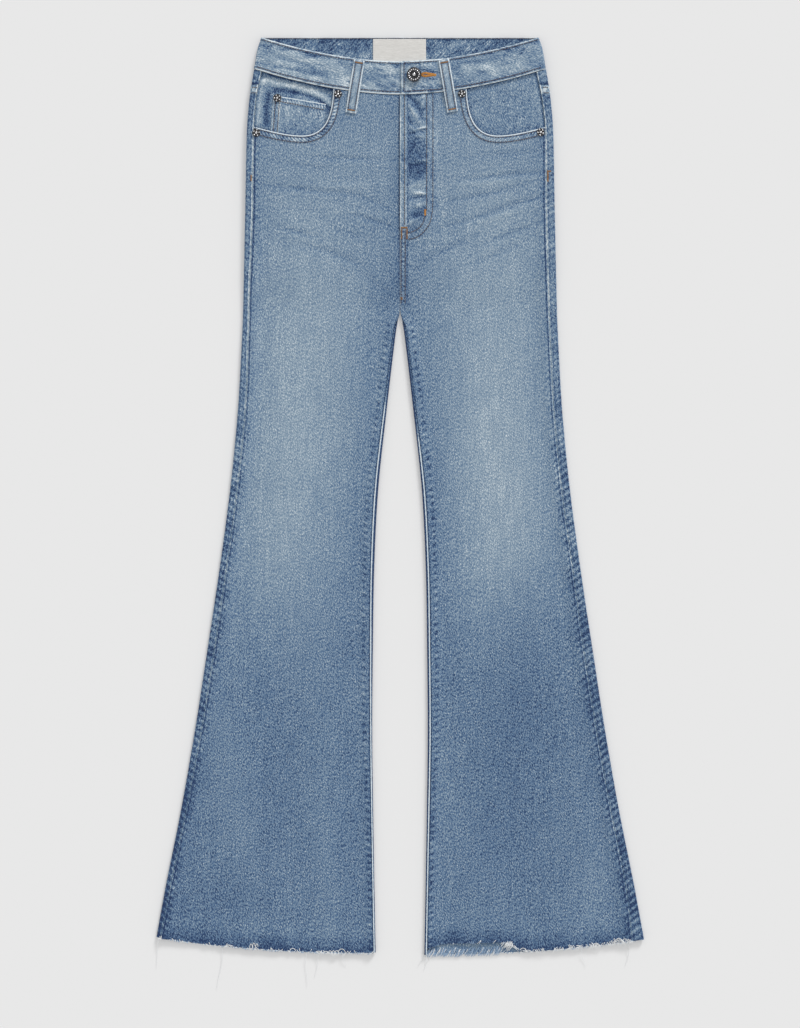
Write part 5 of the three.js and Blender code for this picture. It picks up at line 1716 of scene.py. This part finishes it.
def rounded(profile):
    """A smoother profile through the corners of a rough one."""
    profile = np.array(profile, float)
    for _ in range(2):
        near, far = mix(profile[:-1], profile[1:], 0.25), mix(profile[:-1], profile[1:], 0.75)
        inner = np.stack((near, far), axis=1).reshape(-1, 2)
        profile = np.concatenate((profile[:1], inner[1:-1], profile[-1:]))
    return profile


def joined(parts):
    """Parts, each of points, faces and the number of its finish, as one mesh."""
    points, faces, finishes, first = [], [], [], 0
    for part_points, part_faces, finish in parts:
        points.append(part_points)
        faces += [[first + corner for corner in face] for face in part_faces]
        finishes += [finish] * len(part_faces)
        first += len(part_points)
    return np.concatenate(points), faces, finishes


BEAD_SIDES = 8


def bead(centre, radius):
    turn = np.linspace(-1.2, 1.45, 5)
    return lathe([(radius * math.cos(t), radius * math.sin(t)) for t in turn], BEAD_SIDES, centre)


# A near-black finish: painted shade in the hollows of the button and the rivets.
black_shade_shader = Shader("painted black shade")
shade_variation = black_shade_shader.noise(2.0, 2.0, detail=2.0)
PAINTED_BLACK_SHADE = black_shade_shader.surface(
    Base_Color=black_shade_shader.ramp(shade_variation, ((0.2, linear(8, 8, 10)), (0.9, linear(38, 38, 44)))),
    Roughness=0.4,
)
# Finish numbers: painted highlight, painted shade, and near-black painted shade in the hollows.
HIGHLIGHT_FINISH, SHADE_FINISH, HOLLOW_SHADE_FINISH = 0, 1, 2
METALS = [LIT_NICKEL, SHADED_NICKEL, PAINTED_BLACK_SHADE]

BUTTON_BASE = FRONT_BAND_Z + BAND + OVERLAP_STEP + SEAM_GAP
BUTTON_BODY = ((0.02, 0), (3.4, 0), (3.4, 1.1), (7.4, 1.2), (8.6, 1.7), (8.8, 2.4), (8.5, 3.0), (7.6, 3.0))
BUTTON_BODY += ((0.02, 2.6),)
BUTTON_EDGE = ((8.6, 2.4), (8.7, 3.0), (8.3, 3.5), (7.7, 3.5), (7.4, 3.0), (7.4, 2.6))
BUTTON_RIM = ((4.7, 2.5), (4.7, 3.2), (4.4, 3.5), (4.0, 3.5), (3.7, 3.0), (3.7, 2.5))
BUTTON_CAP = ((0.02, 2.5), (2.1, 2.6), (1.9, 3.6), (1.1, 4.05), (0.02, 4.2))
BUTTON_BEADS = {"radius": 6.2, "height": 2.8, "bead_radius": 1.2, "count": 15}
RIVET_BODY = ((0.02, 0), (4.5, 0), (4.9, 0.4), (4.7, 1.0), (4.3, 1.25), (3.9, 0.9), (0.02, 0.8))
RIVET_NUB = ((0.02, 0.6), (1.6, 0.7), (1.4, 1.6), (0.9, 1.9), (0.02, 2))
RIVET_BEADS = {"radius": 3.35, "height": 0.7, "bead_radius": 1.15, "count": 5}
ON_PANEL = PANEL_TOP + SEAM_GAP
RIVETS = {
    "rivet_coin_pocket": (-147.4, 1028.6, COIN_TOP + SEAM_GAP),
    "rivet_mouth_inner_left": (-74.4, 1033.2, ON_PANEL),
    "rivet_mouth_outer_left": (-172.4, 986.6, ON_PANEL),
    "rivet_mouth_inner_right": (74.3, 1033.4, ON_PANEL),
    "rivet_mouth_outer_right": (168.8, 987.2, ON_PANEL),
}


def bead_ring(centre, radius, height, bead_radius, count, first=0.0):
    """Bright beads in a ring, from the angle first on."""
    turns = first + np.linspace(0, 2 * np.pi, count, endpoint=False)
    places = [centre + (radius * math.cos(turn), radius * math.sin(turn), height) for turn in turns]
    return [(*bead(place, bead_radius), HIGHLIGHT_FINISH) for place in places]


def turned(profile, sides, centre, finish):
    """A smoothed profile turned on the lathe, with the number of its finish."""
    return (*lathe(rounded(profile), sides, centre), finish)


def metal_piece(name, node, parts):
    points, faces, finishes = joined(parts)
    settle(new_object(name, points, faces, METALS, finishes=finishes), [node])


centre = np.array((BUTTON["x"], BUTTON["y"], BUTTON_BASE))
parts = [turned(BUTTON_BODY, 64, centre, HOLLOW_SHADE_FINISH), turned(BUTTON_CAP, 32, centre, HIGHLIGHT_FINISH)]
parts += [turned(BUTTON_RIM, 64, centre, SHADE_FINISH), turned(BUTTON_EDGE, 64, centre, SHADE_FINISH)]
parts += bead_ring(centre, **BUTTON_BEADS)
metal_piece("button_metal", "waist_button", parts)
for name, place in RIVETS.items():
    centre = np.array(place)
    parts = [turned(RIVET_BODY, 48, centre, HOLLOW_SHADE_FINISH), turned(RIVET_NUB, 24, centre, HIGHLIGHT_FINISH)]
    parts += bead_ring(centre, **RIVET_BEADS, first=place[1])
    metal_piece(name + "_metal", name, parts)

# %% [markdown]
# ## Frayed hems
# The hems are cut raw. White weft ends stick out of the cut in small uneven bunches, a few threads hang
# long, and some loop back up. Each thread is a thin tube along a gently curled line: its root sits inside
# the cloth's cut edge and its tip sinks towards the table.

# %% Threads of the frayed hems
LONG_THREADS = {  # place across, length, lean, curl, all in millimetres
    (LEFT, True): (
        (68, 17, -2, 1.4),
        (99, 30, 3, -1.2),
        (112, 42, 1, 1.2),
        (214, 52, 5, -1.6),
        (290, 36, 3, 0.6),
    ),
    (RIGHT, True): ((219.6, 24, 2, -2.0), (273.6, 30, -1.5, 2.4)),
    (RIGHT, False): ((31.5, 19, -4, 2.0), (36, 11, -5, 2.0), (28, 14, -6, 1.0)),
    (LEFT, False): (),
}
BUNCHES = {  # where the fraying is thicker: place, half width, and how much longer it hangs
    (LEFT, True): ((73, 10, 4), (95, 13, 4.6), (174, 7, 3), (128, 10, 1.6), (226, 9, 1.6), (262, 12, 1)),
    (RIGHT, True): ((138, 6, 6), (160, 14, 4), (232, 16, 5), (262, 14, 6), (285, 8, 5), (190, 14, 4)),
    (RIGHT, False): ((36, 9, 5.0), (60, 16, 3.0), (98, 26, 4.4), (286, 8, 3.0)),
    (LEFT, False): ((150, 10, 2.2), (280, 10, 2.6)),
}
LOOPS = {  # threads that curl on the edge: place, height over the edge, half width, half height, angles
    (LEFT, True): (
        (70, 0.5, 4.2, 4.6, -50, 205),
        (76, -3.0, 2.6, 6.0, 20, 185),
        (80, -2.5, 2.0, 5.4, 5, 150),
        (84, -2.0, 2.4, 4.6, 20, 170),
        (89, -1.5, 3.0, 3.4, 10, 190),
        (98, -1.0, 3.4, 2.8, 0, 160),
        (129, 0.4, 3.4, 3.4, 10, 190),
        (172, 1.6, 1.5, 5.2, 20, 215),
        (175.6, 2.4, 1.5, 5.0, 10, 200),
        (179, 1.4, 1.6, 4.6, 0, 190),
        (206, 0.4, 3.2, 2.0, 20, 190),
    ),
    (RIGHT, True): (
        (148, 0.6, 3.4, 2.4, 10, 170),
        (154, -1.4, 4.4, 3.2, 15, 150),
        (214, -1.0, 4.6, 4.0, 10, 120),
        (236, -1.0, 4.0, 4.2, 20, 170),
        (263, -0.5, 4.2, 6.4, 30, 160),
        (270, -2.0, 3.4, 6.4, 10, 150),
    ),
}
FANS = {  # bundles that spread over the edge: place, step between threads, count, root, length, lean
    (RIGHT, True): (
        (127, 0.8, 11, 4.2, 7.0, -5.0),
        (122, 1.3, 8, 1.4, 5.0, -3.8),
        (163, 2.3, 5, 2.6, 3.0, 3.6),
        (185, 2.4, 4, 3.0, 2.6, -4.4),
        (205, 1.6, 4, 4.4, 2.4, 5.4),
        (212, 1.8, 4, 3.6, 3.6, -5.6),
        (231, 2.0, 5, 3.4, 3.4, 4.6),
        (247, 2.2, 5, 4.0, 4.6, -6.0),
        (258, 1.5, 8, 5.6, 4.0, 6.4),
        (266, 1.7, 7, 4.6, 7.0, -5.0),
    ),
    (LEFT, True): ((76, 1.5, 6, 1.4, 5.0, -3.0), (92, 1.7, 6, 1.2, 4.0, 2.0), (200, 1.8, 5, 2.0, 1.2, 3.0)),
    (RIGHT, False): ((30, 1.3, 5, 2.4, 4.0, -3.4),),
}
LOOP_POINTS = 12
LOOP_RADIUS = 0.36
NOTCH = {"outer": 120, "whole": 138, "reach": 8.5}  # inside these places the front's hem stands back
FRAY_PITCH = 0.42
FUZZ_BLUE = {LEFT: 0.5, RIGHT: 0.25}  # share of the short threads that kept their dye
FRAY_RADIUS = 0.32
FRAY_FLOOR = 0.35
FRAY_POINTS = 6


def fray_place(leg, front, x):
    """The edge and the height of the cloth's face for a thread at a place."""
    edge = front_hem(leg, x) if front else back_hem(leg, x)
    return edge, front_top(leg, x, edge + 1) if front else CLOTH


def frayed_thread(leg, front, place, root, length, lean, curl, salt):
    """One thread that lies over the cut edge of a panel and hangs beyond it, as a run of points."""
    edge, face = fray_place(leg, front, place)
    t = np.linspace(0, 1, FRAY_POINTS)
    x = place + lean * (t - root / (root + length)) + np.sin(2.6 * t * (1 + scatter(salt, 3))) * curl
    y = edge + root - (length + root) * t
    rest = FRAY_FLOOR + 0.5 * scatter(salt, 4)
    z = mix(face + 0.3, rest, smooth(0, 18, np.maximum(edge - y, 0))) + 0.3 * np.sin(np.pi * t)
    z[0] = face - 0.4
    return np.column_stack((x * leg, y, np.maximum(z, FRAY_FLOOR)))


def looped_thread(leg, front, place, over, half_width, half_height, start, end):
    """One thread that curls round on the cut edge, between two angles of an ellipse."""
    angle = np.radians(np.linspace(start, end, LOOP_POINTS))
    x = place + half_width * np.cos(angle) * leg
    edge, face = fray_place(leg, front, x)
    y = fray_place(leg, front, place)[0] + over + half_height * np.sin(angle)
    z = mix(face + 0.5, FRAY_FLOOR + 0.4, smooth(0.5, 12, np.maximum(edge - y, 0)))
    return np.column_stack((x * leg, y, z))


def fringe_runs(leg, front):
    """All threads of one hem, and for each of them 0 for white or 1 for blue."""
    outer, inner = front_edges(leg, np.array(0.0))
    if not front:
        outer, inner = section["side"](0) - 2, section["inner"](0) + 2
    runs, tints = [], []
    salt = 200 + 7 * leg + (3 if front else 0)
    for index, place in enumerate(np.arange(inner + 0.6, outer - 0.4, FRAY_PITCH)):
        key = index + salt * 10
        in_notch = leg == RIGHT and place < NOTCH["outer"]
        extra = sum(more * line(place, middle, width) for middle, width, more in BUNCHES[leg, front])
        strand = scatter(key, 12) < 0.03 + 0.03 * extra
        presence = 0.5 + 0.35 * uneven(place, 6, salt)
        presence = presence * (0.1 if leg == RIGHT and front and place < NOTCH["whole"] else 1.0)
        presence = presence + (0.25 if in_notch and not front else 0)
        if scatter(key, 1) > presence and not strand:
            continue
        root = 0.2 + 1.0 * scatter(key, 9) ** 1.5
        length = 0.4 + 1.5 * scatter(key, 2) ** 2
        if strand:
            root = root + 0.6 + 3.0 * scatter(key, 6)
            length = length + 0.8 * extra * scatter(key, 11)
        lean = (scatter(key, 7) - 0.5) * 2.4 * (length + root)
        if in_notch and not front:
            root = 1 + NOTCH["reach"] * scatter(key, 9)
            length = 0.5 + 3.2 * scatter(key, 2)
            lean = -(0.25 + 0.5 * scatter(key, 7)) * (length + root)
        curl = (scatter(key, 8) - 0.5) * 0.2 * (length + root)
        runs.append(frayed_thread(leg, front, place, root, length, lean, curl, key))
        blue = 0.8 if in_notch else 0.0 if strand else FUZZ_BLUE[leg]
        tints.append(int(scatter(key, 10) < blue))
    for place, length, lean, curl in LONG_THREADS[leg, front]:
        runs.append(frayed_thread(leg, front, place, 1.5, length, lean, curl, place))
    for place, step, count, root, length, lean in FANS.get((leg, front), ()):
        for index in range(count):
            share = (0.3 + np.sin(np.pi * (index + 1) / (count + 1))) * (0.6 + 0.5 * scatter(index, place))
            at = place + step * (index + 0.6 * scatter(index, 3))
            sizes = [size * share for size in (root, length, lean)]
            runs.append(frayed_thread(leg, front, at, *sizes, 0.4, index + place))
    return runs, tints + [0] * (len(runs) - len(tints))


frays, curls = {}, {}
for leg, front in BUNCHES:
    side = "front" if front else "back"
    word = LEG_WORDS[leg]
    radii = FRAY_RADIUS * np.array((1, 1, 0.9, 0.8, 0.7, 0.45))
    runs, tints = fringe_runs(leg, front)
    frays[leg, front] = thread_piece(f"fray_{side}_{word}", runs, radii, [FRAY, FRAY_BLUE],
                                     [f"hem_fringe_{side}_{word}"], sides=4, choices=tints)

for (leg, front), loops in LOOPS.items():
    runs = [looped_thread(leg, front, *loop) for loop in loops]
    curls[leg] = thread_piece(f"curls_{LEG_WORDS[leg]}", runs, LOOP_RADIUS, [FRAY], sides=6)

# %% [markdown]
# ## Sizes of the cut cloth
# For each leg, the widths at every two millimetres of height come from the same levels as the shapes: the
# front's edges, the reach across the leg and the extra cloth of the lap, the tuck and the two folds.

LEVEL_STEP = 2.0
levels = np.arange(0, WAIST_SEAM_SIDE, LEVEL_STEP)


for leg, word in LEG_WORDS.items():
    outer, inner = front_edges(leg, levels)
    reach = section["side"](levels) - section["inner"](levels)
    extra = side_of(leg, "lap")(levels) + side_of(leg, "tuck")(levels) + 2 * fold_height(levels)


# %% [markdown]
# ## Table, light and camera
# The photograph looks straight down in soft, even light with hardly any shadow, so the lesson uses a bright
# world, one broad lamp from the upper right and a camera far above with a long lens.

# %% Table, lights and camera
FLOOR_Z = -0.5
TABLE_REACH = 4000
floor_mesh = bpy.data.meshes.new("table")
signs = ((-1, -1), (1, -1), (1, 1), (-1, 1))
table_corners = [(a * TABLE_REACH * MM, b * TABLE_REACH * MM, FLOOR_Z * MM) for a, b in signs]
floor_mesh.from_pydata(table_corners, [], [(0, 1, 2, 3)])
floor = bpy.data.objects.new("table", floor_mesh)
bpy.context.scene.collection.objects.link(floor)
paper = bpy.data.materials.new("pale paper")
paper.use_nodes = True
PAPER_FINISH = {
    "Base Color": (0.64, 0.64, 0.64, 1),
    "Emission Color": (1, 1, 1, 1),
    "Emission Strength": 0.161,  # light from below keeps the shadows soft
    "Roughness": 1,
    "Specular IOR Level": 0,
}
for socket, value in PAPER_FINISH.items():
    paper.node_tree.nodes["Principled BSDF"].inputs[socket].default_value = value
floor_mesh.materials.append(paper)

world = bpy.data.worlds.new("soft studio")
world.use_nodes = True
sky = world.node_tree.nodes["Background"]
sky.inputs["Color"].default_value = (1.0, 1.0, 1.0, 1)
sky.inputs["Strength"].default_value = 0.75
bpy.context.scene.world = world

sun_data = bpy.data.lights.new("key", "SUN")
sun_data.energy = 2.1
sun_data.angle = math.radians(14)
sun = bpy.data.objects.new("key", sun_data)
LIGHT_FROM = Vector((0.93, 2.2, 1.0))  # towards the lamp: from the right, and more from the top
sun.rotation_euler = LIGHT_FROM.to_track_quat("Z", "Y").to_euler()
bpy.context.scene.collection.objects.link(sun)

VIEW_CENTRE = (0.0, 529.2)  # on the garment's lines
VIEW_HEIGHT = 1233.6
camera_data = bpy.data.cameras.new("above")
camera_data.lens = 85
camera_data.sensor_width = 36
camera_data.clip_end = 20
camera = bpy.data.objects.new("above", camera_data)
distance = VIEW_HEIGHT * camera_data.lens / camera_data.sensor_width
camera.location = in_frame([[*VIEW_CENTRE, distance + PANEL_TOP]])[0]
bpy.context.scene.collection.objects.link(camera)
bpy.context.scene.camera = camera
bpy.context.scene.view_settings.view_transform = "Standard"

# %% [markdown]
# ## The triangles in all
# The triangles of all the made pieces are counted.

# %% Count the triangles
print("Triangles in all:", sum(made_triangles.values()), "in", len(made_triangles), "pieces")
